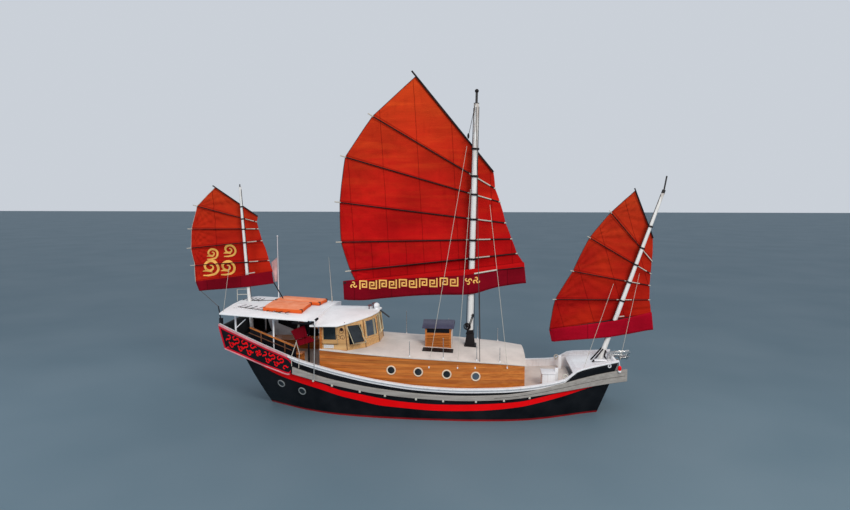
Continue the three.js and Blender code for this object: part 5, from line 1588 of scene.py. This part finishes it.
# %% Thin rods and a folded awning frame on the poop roof
RODS = [
    # start x, y, end x, y, radius, finish
    (-7.45, -1.20, -5.20, -1.55, 0.013, "steel"), (-7.35, -1.05, -5.55, -1.42, 0.011, "spar_black"),
    (-7.50, -0.72, -6.35, -0.95, 0.012, "white"), (-7.30, 0.15, -6.45, 0.55, 0.012, "spar_black"),
]
rods = {"steel": bmesh.new(), "spar_black": bmesh.new(), "white": bmesh.new()}
for x0, y0, x1, y1, radius, key in RODS:
    start, end = ((x, y, top_of(on_poop_roof, x, y) + radius) for x, y in ((x0, y0), (x1, y1)))
    add_bar(rods[key], start, end, radius, sides=8)
for i in range(9):
    x, y = -7.25 + 0.24 * i, -1.0 - 0.05 * i
    z = top_of(on_poop_roof, x, y) + 0.03
    add_bar(rods["spar_black" if i % 3 else "steel"], (x, y - 0.16, z), (x + 0.17, y + 0.14, z + 0.035),
            0.012, sides=8)
for i in range(5):
    x = -7.60 + 0.16 * i
    z = top_of(on_poop_roof, x, 0.25) + 0.03
    add_bar(rods["spar_black"], (x, 0.05, z), (x + 0.13, 0.42, z + 0.03), 0.012, sides=8)
for key, shape in rods.items():
    add_piece(f"roof_rods_{key}", shape, key)
print("rods stacked")

# %% Dome, horns, visor, staff and aerial
shape = bmesh.new()
base = top_of(on_house_roof, -2.16, 0.0)
add_bar(shape, (-2.16, 0, base), (-2.16, 0, base + 0.09), 0.075, sides=28)
add_ball(shape, (-2.16, 0, base + 0.14), 0.115, (1, 1, 0.95), rings=12)
add_piece("white_dome", shape, "white", smooth=60)
shape = bmesh.new()
for x, y, tall in ((-2.46, 0.0, 0.13), (-2.34, 0.22, 0.18)):
    z = top_of(on_house_roof, x, y)
    add_bar(shape, (x, y, z - 0.004), (x, y, z + tall), 0.022, sides=14)
    add_bar(shape, (x - 0.05, y, z + tall), (x + 0.10, y, z + tall + 0.01), 0.024, 0.05, sides=18)
finish["plum"] = paint("plum_paint", (0.12, 0.05, 0.055), 0.4, drift=0.2)
add_piece("roof_horns", shape, "plum", smooth=45)
VISOR_BACK, VISOR_FRONT = -2.03, -1.66
shape = bmesh.new()
rim_z = top_of(on_house_roof, VISOR_BACK, 0.0) - 0.03
stretch_skin(shape, [[(VISOR_BACK, y, rim_z), (VISOR_BACK, y, rim_z - 0.02), (VISOR_FRONT, y, rim_z - 0.29),
                      (VISOR_FRONT, y, rim_z - 0.28)] for y in (-0.10, 0.10)])
add_piece("sun_visor", shape, "spar_black")
staff, aerial = bmesh.new(), bmesh.new()
x, y = -6.66, 1.60
z = top_of(on_poop_roof, x, y)
add_bar(staff, (x, y, z - 0.01), (x, y, 6.34), 0.022, 0.014)
add_ball(staff, (x, y, 6.36), 0.035, rings=8)
x, y = -4.36, 1.66
z = top_of(on_poop_roof, x, y)
add_bar(aerial, (x, y, z - 0.01), (x - 0.12, y, 5.50), 0.016, 0.006)
add_bar(aerial, (x, y, z - 0.01), (x - 0.01, y, z + 0.22), 0.026, sides=14)
add_piece("ensign_staff", staff, "white")
add_piece("whip_aerial", aerial, "ring")
print("roof fittings placed")

# %% [markdown]
# ## Amidships
# The companion has a louvred front under its dark lid, a mat before it, and slim stanchions
# along the roof's edge. The main mast stands in a black tabernacle with tackles hung on it.

# %% Companion front and louvres
LEFT, RIGHT, FRONT = -0.19, 0.79, -0.62
LOUVRES, LOUVRE_STEP = 8, 0.063
shape, dark = bmesh.new(), bmesh.new()
add_box(dark, (LEFT + 0.05, FRONT - 0.012, 2.86), (RIGHT - 0.05, FRONT + 0.02, 3.03), 0.004)
tilt = Matrix.Rotation(math.radians(28), 4, "X")
for i in range(LOUVRES):
    z = 2.35 + i * LOUVRE_STEP
    add_box(shape, (LEFT + 0.06, FRONT - 0.030, z), (RIGHT - 0.06, FRONT + 0.004, z + 0.035), 0.004, tilt)
for x in (LEFT + 0.03, RIGHT - 0.03):
    add_box(shape, (x - 0.035, FRONT - 0.026, 2.26), (x + 0.035, FRONT + 0.01, 3.04), 0.006)
for z in (2.30, 2.85):
    add_box(shape, (LEFT, FRONT - 0.024, z - 0.03), (RIGHT, FRONT + 0.01, z + 0.03), 0.006)
add_piece("companion_louvres", shape, "varnish", smooth=20)
add_piece("companion_shadow", dark, "black")
shape = bmesh.new()
add_box(shape, (RIGHT - 0.004, -0.60, 2.32), (RIGHT + 0.022, 0.30, 2.98), 0.008)
add_piece("companion_side", shape, "cream")
print("companion fitted")

# %% A mat that follows the roof, and a collar round the main mast
MAT_LOW, MAT_HIGH, MAT_THICK = (-0.25, -1.19), (0.89, -0.82), 0.03
shape = bmesh.new()
centre = Vector(((MAT_LOW[0] + MAT_HIGH[0]) / 2, (MAT_LOW[1] + MAT_HIGH[1]) / 2, 0))
spread = Matrix.Diagonal((MAT_HIGH[0] - MAT_LOW[0], MAT_HIGH[1] - MAT_LOW[1], 1, 1))
bmesh.ops.create_grid(shape, x_segments=12, y_segments=6, size=0.5,
                      matrix=Matrix.Translation(centre) @ spread)
for vert in shape.verts:
    vert.co.z = top_of(on_cabin_roof, vert.co.x, vert.co.y) + 0.002
thicken(shape, shape.faces[:], Vector((0, 0, MAT_THICK)))
add_piece("step_mat", shape, "spar_black", smooth=30)
shape = bmesh.new()
plate_z = top_of(on_cabin_roof, 1.50, -0.31)
add_box(shape, (1.27, -0.30, plate_z - 0.04), (1.74, 0.30, plate_z + 0.035), 0.010)
collar_x = mast_x(MASTS["main"], 2.82)
add_bar(shape, (collar_x, 0, 2.74), (collar_x, 0, 2.90), 0.129, sides=40)
add_piece("mast_collar", shape, "spar_black", smooth=40)
print("mat laid and mast collared")

# %% Stanchions along the roof's edge
STANCHIONS = [
    # x, height, sides: 1 is port, -1 starboard
    (-0.65, 0.55, (-1,)), (0.57, 0.74, (1, -1)), (1.77, 0.52, (1, -1)), (2.60, 0.52, (1, -1)),
    (-1.21, 0.95, (1,)),
]
on_trunk = surface_of(trunk)
posts, feet = bmesh.new(), bmesh.new()
for x, tall, sides in STANCHIONS:
    for side in sides:
        y = feel(on_trunk, x, 1.80, side).y - side * 0.05
        z = top_of(on_cabin_roof, x, y)
        add_bar(posts, (x, y, z - 0.01), (x, y, z + tall), 0.013, 0.010, sides=10)
        add_ball(posts, (x, y, z + tall), 0.020, rings=6)
        add_bar(feet, (x, y, z - 0.008), (x, y, z + 0.05), 0.030, 0.022, sides=14)
add_piece("stanchions", posts, "steel", smooth=50)
add_piece("stanchion_feet", feet, "white", smooth=50)
print("stanchions:", len(STANCHIONS))

# %% White clips along the roof edge, and pads under the wale
shape = bmesh.new()
for x in (0.06, 1.09, 1.72, 2.87):
    for side in SIDES.values():
        y = feel(on_trunk, x, 1.82, side).y
        add_box(shape, (x - 0.022, y - 0.018, 1.85), (x + 0.022, y + 0.018, 1.92), 0.006)
add_piece("edge_clips", shape, "white")
PADS = (-4.15, -3.44, -2.41, -1.49, -0.37, 0.60, 1.76, 2.75, 3.66)
shape = bmesh.new()
for x in PADS:
    for side in SIDES.values():
        y, z = side * (line_at("top", x) + 0.035), wale_low(x)
        add_box(shape, (x - 0.036, y - 0.030, z - 0.060), (x + 0.036, y + 0.030, z + 0.02), 0.010)
add_piece("wale_pads", shape, "ring")
print("pads:", len(PADS))

# %% Tackles and gear at the main mast
shape = bmesh.new()
add_bar(shape, (1.40, -0.20, 2.80), (1.62, -0.10, 3.46), 0.014, sides=8)
add_bar(shape, (1.34, -0.16, 2.74), (1.55, -0.12, 3.40), 0.014, sides=8)
for x, z, size in ((1.36, 3.10, 0.085), (1.42, 2.84, 0.075), (1.60, 3.48, 0.06)):
    add_ball(shape, (x, -0.18, z), size, (0.7, 0.45, 1.3), rings=8)
for i in range(5):
    add_ring(shape, (1.37 + 0.004 * i, -0.17 - 0.012 * i, 3.06), (0.15, 1, 0), 0.10 + 0.008 * i, 0.012,
             around=20, section=6)
add_box(shape, (1.28, -0.26, 2.10), (1.72, -0.20, 2.30), 0.02)
add_piece("mast_tackles", shape, "spar_black", smooth=50)
print("mast gear hung")

# %% [markdown]
# ## Bow
# A raised white deck carries the fore mast between two black struts, the anchor gear lies over
# the stem, and a low well behind it holds white bitts and a locker. Fairleads and a hawse ring
# pierce the bulwark; a small red fender hangs on each side at the stem.

# %% Struts, fairleads and hawse rings
shape = bmesh.new()
heel = mast_x(MASTS["fore"], 2.26)
for side in SIDES.values():
    add_bar(shape, (6.12, side * 0.175, 1.78), (heel - 0.06, side * 0.115, 2.28), 0.030, 0.026)
    add_bar(shape, (heel + 0.04, side * 0.125, 2.24), (heel - 0.01, side * 0.150, 2.02), 0.026)
    add_bar(shape, (heel - 0.01, side * 0.150, 2.03), (heel + 0.10, side * 0.175, 1.82), 0.026, 0.022)
struts = add_piece("foremast_struts", shape, "spar_black", smooth=50)
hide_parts("foremast_cheeks")
LEAD_X, FENDER_X = 4.96, 6.97
leads, hawse, fenders, tips = bmesh.new(), bmesh.new(), bmesh.new(), bmesh.new()
rail_top = line_at("sheer", LEAD_X)
for side in SIDES.values():
    centre, normal = seat_on(surface_of(hull), 6.60, 1.85, side, reach=0.05)
    add_ring(hawse, centre + normal * 0.02, normal, 0.055, 0.020, around=30)
    y = side * (line_at("top", LEAD_X) - 0.02) - side * 0.10
    add_ring(leads, (LEAD_X, y, rail_top + 0.06), (0, 1, 0.2), 0.075, 0.026, around=26)
    add_bar(leads, (LEAD_X, y, rail_top - 0.05), (LEAD_X, y, rail_top + 0.01), 0.04, sides=14)
    y = side * (line_at("top", 6.95) + 0.10)
    add_ball(fenders, (FENDER_X, y, 1.76), 0.075, (0.9, 0.9, 1.4), rings=12)
    add_ball(tips, (FENDER_X, y, 1.655), 0.062)
    add_bar(tips, (FENDER_X, y, 1.83), (FENDER_X, y - side * 0.06, 2.03), 0.010, sides=8)
add_piece("hawse_rings", hawse, "white", smooth=60)
add_piece("fairleads", leads, "ring", smooth=60)
add_piece("stem_fenders", fenders, "red", smooth=60)
add_piece("fender_tips", tips, "white", smooth=60)
print("bow fittings placed")

# %% Locker, step and anchor in the bow
shape = bmesh.new()
add_box(shape, (4.16, -1.18, 1.03), (4.62, -0.62, 1.56), 0.015)
add_box(shape, (4.13, -1.21, 1.56), (4.65, -0.59, 1.60), 0.010)
add_box(shape, (6.18, -0.34, 1.86), (6.62, -0.20, 1.92), 0.008)
add_piece("bow_locker", shape, "white", smooth=25)
shape = bmesh.new()
add_bar(shape, (6.80, 0.0, 2.06), (7.50, 0.0, 2.13), 0.024, sides=14)
add_ball(shape, (7.50, 0.0, 2.13), 0.05, rings=10)
add_ring(shape, (7.17, -0.03, 1.97), (0, 1, 0), 0.045, 0.020, around=20)
for side in SIDES.values():
    add_box(shape, (7.16, side * 0.09 - 0.10, 1.94), (7.50, side * 0.09 + 0.10, 1.96), 0.008,
            Matrix.Rotation(side * 0.6, 4, "X") @ Matrix.Rotation(-0.25, 4, "Y"))
    add_box(shape, (6.86, side * 0.07 - 0.012, 1.98), (7.24, side * 0.07 + 0.012, 2.08), 0.006)
add_bar(shape, (7.14, -0.08, 2.03), (7.14, 0.08, 2.03), 0.045, sides=20)
add_piece("anchor", shape, "steel", smooth=50)
print("anchor stowed")

# %% [markdown]
# ## Ornaments on the sails
# The main sail's foot carries a row of gold fret marks between two small flourishes, and the
# mizzen a drift of gold clouds. Both are flat strokes dropped on the cloth from starboard.

# %% Gold frets on the main sail's foot
FRET = [(0, 0), (0, 1), (1, 1), (1, 0.22), (0.38, 0.22), (0.38, 0.62), (0.68, 0.62)]
FRET_SIZE, FRET_TALL, STROKE = 0.27, 1.12, 0.052
FRET_START, FRET_STEP, FRET_COUNT = -2.86, 0.40, 10
FRET_FOOT, FRET_RISE = 4.40, 0.062


def stroke(shape, start, end, wide, cuts=3):
    """A flat bar in the XZ plane with square ends, cut across so that it can bend."""
    start, end = Vector((start[0], 0, start[1])), Vector((end[0], 0, end[1]))
    along_it = (end - start).normalized()
    left = Vector((-along_it.z, 0, along_it.x)) * wide / 2
    start, end = start - along_it * wide / 2, end + along_it * wide / 2
    edge = shape.edges.new([shape.verts.new(start - left), shape.verts.new(start + left)])
    for _ in range(cuts):
        edge = grow_edge(shape, edge)
        bmesh.ops.translate(shape, vec=(end - start) / cuts, verts=list(edge.verts))


shape = bmesh.new()
for i in range(FRET_COUNT):
    x0 = FRET_START + i * FRET_STEP
    z0 = FRET_FOOT + FRET_RISE * (x0 - FRET_START)
    turned = [(1 - u, 1 - v) for u, v in FRET] if i % 2 else FRET
    path = [(x0 + u * FRET_SIZE, z0 + v * FRET_SIZE * FRET_TALL) for u, v in turned]
    for start, end in zip(path, path[1:]):
        stroke(shape, start, end, STROKE)
for x, mirrored in ((-3.12, 1), (1.42, -1), (1.72, 1)):
    z = FRET_FOOT + 0.15 + FRET_RISE * (x - FRET_START)
    for turn in (25, 145, 265):
        ribbon(shape, (x, z), turn * mirrored, 0.05, [(0.07, 110 * mirrored), (0.04, 120 * mirrored)],
               taper=0.5)
laid_on(shape, surface_of(cover_pieces["main"]), 0.004, 0.004)
add_piece("gold_frets", shape, "cream_gold", "main_sail")
print("frets:", FRET_COUNT)

# %% Gold clouds on the mizzen
CLOUDS = [
    # tail x, z, size, stroke width
    (-9.30, 4.84, 1.05, 0.105), (-8.56, 4.88, 0.95, 0.10), (-9.12, 5.50, 0.72, 0.085),
    (-8.42, 5.62, 0.80, 0.09),
]
CURL = [(1.0, 24), (0.27, 215), (0.17, 180), (0.09, 150)]
shape = bmesh.new()
for x, z, size, wide in CLOUDS:
    ribbon(shape, (x, z), -6, wide, [(radius * size, degrees) for radius, degrees in CURL], taper=0.4)
    ribbon(shape, (x - 0.02, z + 0.16 * size), 20, wide * 0.8, [(0.45 * size, -50)], taper=0.25)
laid_on(shape, surface_of(sail_pieces["mizzen"]), 0.014, 0.003)
add_piece("gold_clouds", shape, "gold", "mizzen_sail")
print("clouds:", len(CLOUDS))

# %% [markdown]
# ## Running rigging
# Thin lines drop from each sail to the deck's edge and keep it from twisting. Each is one straight
# bar from its foot on the hull to its head on the sail, cut into short lengths along its run.

# %% Lines between the sails and the hull
LINES = [
    # name, sail body, head, foot, radius, finish
    ("main_line_aft", "main_sail", (1.32, .20, 9.93), (.06, -1.80, 1.98), .008, "rope"),
    ("main_line_mid", "main_sail", (1.47, -.10, 8.30), (1.09, -1.80, 1.96), .008, "rope"),
    ("main_line_fore", "main_sail", (2.21, .20, 7.70), (2.87, -1.80, 1.94), .008, "rope"),
    ("fore_line_aft", "fore_sail", (6.89, .17, 4.73), (5.63, -1.25, 1.86), .007, "rope"),
    ("fore_line_mid", "fore_sail", (7.83, .17, 5.14), (7.00, -.80, 2.05), .007, "rope"),
    ("mizzen_line", "mizzen_sail", (-8.17, .16, 5.25), (-7.60, -1.80, 3.70), .007, "rope"),
    ("mizzen_sheet", "mizzen_sail", (-9.42, .20, 4.22), (-7.93, -1.46, 3.90), .012, "dark_rope"),
    ("mizzen_tack", "mizzen_sail", (-6.36, .20, 4.60), (-6.02, .40, 3.86), .022, "spar_black"),
]
for name, body, head, foot, radius, key in LINES:
    shape = bmesh.new()
    add_bar(shape, foot, head, radius, sides=8)
    reach = (Vector(head) - Vector(foot)).length
    lengthwise = [e for e in shape.edges if e.calc_length() > reach * 0.9]
    bmesh.ops.subdivide_edges(shape, edges=lengthwise, cuts=15, use_grid_fill=True)
    piece = add_piece(name, shape, key, None)
    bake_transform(piece)
print("lines rove:", len(LINES))

# %% Halyards down the masts, and lines that stay on the hull
def beside(mast, z, dx, dy):
    """A point beside a mast at a height."""
    return (mast_x(mast, z) + dx, dy, z)


FIXED = [
    ("halyards", "spar_black", .010, [
        (beside(MASTS["main"], 11.30, -.10, -.06), beside(MASTS["main"], 2.90, -.15, -.10)),
        (beside(MASTS["main"], 11.35, .10, -.05), beside(MASTS["main"], 2.70, .15, -.10)),
        (beside(MASTS["main"], 11.45, -.04, -.10), beside(MASTS["main"], 10.30, -.26, -.02)),
        (beside(MASTS["fore"], 8.10, -.07, -.05), beside(MASTS["fore"], 2.60, -.12, -.05)),
        (beside(MASTS["mizzen"], 8.30, .06, -.04), beside(MASTS["mizzen"], 4.00, .10, -.05))]),
    ("stern_posts", "spar_black", .020, [
        ((-7.80, -1.52, 3.20), (-7.93, -1.46, 3.92)), ((-7.80, 1.52, 3.20), (-7.93, 1.46, 3.92))]),
    ("boarding_lines", "rope", .013, [
        ((-4.80, -1.62, 3.42), (-4.88, -1.69, 2.66)), ((-4.88, -1.69, 2.66), (-4.98, -1.98, 2.19)),
        ((-4.98, -1.98, 2.19), (-4.94, -2.09, 1.86)), ((-4.88, -1.69, 2.66), (-4.67, -2.00, 2.33)),
        ((-4.67, -2.00, 2.33), (-4.67, -2.12, 1.80))]),
    ("boarding_poles", "grey", .015, [
        ((-4.08, -1.97, 3.56), (-4.10, -2.16, 1.42)), ((-4.08, 1.97, 3.56), (-4.10, 2.16, 1.42))]),
    ("mizzen_frame", "ring", .014, [
        ((-7.80, 0.0, 3.86), (-7.80, 0.0, 4.34)), ((-7.80, 0.0, 4.33), (-7.33, 0.0, 4.35)),
        ((-7.80, 0.0, 4.12), (-7.32, 0.0, 4.14))]),
]
for name, key, radius, lines in FIXED:
    shape = bmesh.new()
    add_bars(shape, lines, radius)
    add_piece(name, shape, key)
shape = bmesh.new()
x, _, z = beside(MASTS["main"], 10.28, -.27, 0)
add_ball(shape, (x, -.02, z), 0.07, (0.6, 0.4, 1.5), rings=8)
add_ball(shape, MASTS["main"]["truck"], 0.075, rings=10)
add_piece("mast_blocks", shape, "spar_black", smooth=60)
print("halyards rove")

# %% [markdown]
# ## Awnings and ensign
# Crimson flaps close the gap between the poop roof and the wheelhouse, with a black roll along the
# roof's edge above them: a rolled awning whose black also paints the shadow under that edge. Each is one
# sheet of cloth: a fine grid moved corner to corner, with soft folds.

# %% Hang a sheet of cloth between four corners
FLAP_THICK, FLAP_CELLS = 0.003, 20


def hang(name, corners, material, folds):
    """A cloth over four corners: starts at the upper aft one, and goes round by the fore side."""
    upper_aft, upper_fore, lower_fore, lower_aft = (Vector(c) for c in corners)
    shape = bmesh.new()
    bmesh.ops.create_grid(shape, x_segments=FLAP_CELLS, y_segments=FLAP_CELLS, size=0.5)
    for vert in shape.verts:
        u, v = vert.co.x + 0.5, 0.5 - vert.co.y
        point = upper_aft.lerp(upper_fore, u).lerp(lower_aft.lerp(lower_fore, u), v)
        point.y += folds * v * math.sin(u * 9 + v * 2)
        vert.co = point
    piece = add_piece(name, shape, material, smooth=60)
    stiffen(piece, FLAP_THICK, 0)


hang("upper_flap", [(-5.07, -1.72, 3.08), (-4.55, -1.72, 3.31), (-4.43, -1.74, 2.90), (-4.89, -1.74, 2.74)],
     covers["mizzen"], 0.012)
hang("lower_flap", [(-4.86, -1.70, 2.74), (-4.40, -1.60, 2.88), (-4.16, -1.60, 2.70), (-4.80, -1.70, 2.52)],
     covers["mizzen"], 0.015)
finish["faded_flag"] = paint("faded_flag", (0.76, 0.50, 0.50), 0.8, drift=0.3, shine=0.1)
hang("ensign", [(-6.95, 1.60, 5.25), (-6.69, 1.60, 5.46), (-6.69, 1.60, 4.45), (-6.84, 1.60, 4.40)],
     "faded_flag", 0.02)
shape = bmesh.new()
ROLL = [(-4.95, -1.93, 3.43), (-4.60, -1.93, 3.42), (-4.24, -1.93, 3.43), (-4.10, -1.94, 3.52),
        (-3.99, -1.95, 3.61)]
for start, end in zip(ROLL, ROLL[1:]):
    add_bar(shape, start, end, 0.045, sides=16)
    add_ball(shape, end, 0.045, rings=8)
# A black roll under the roof's edge: the rolled awning, and a painted shadow under that edge.
add_piece("roof_edge_roll_and_shadow", shape, "black", smooth=60)
print("awnings hung")
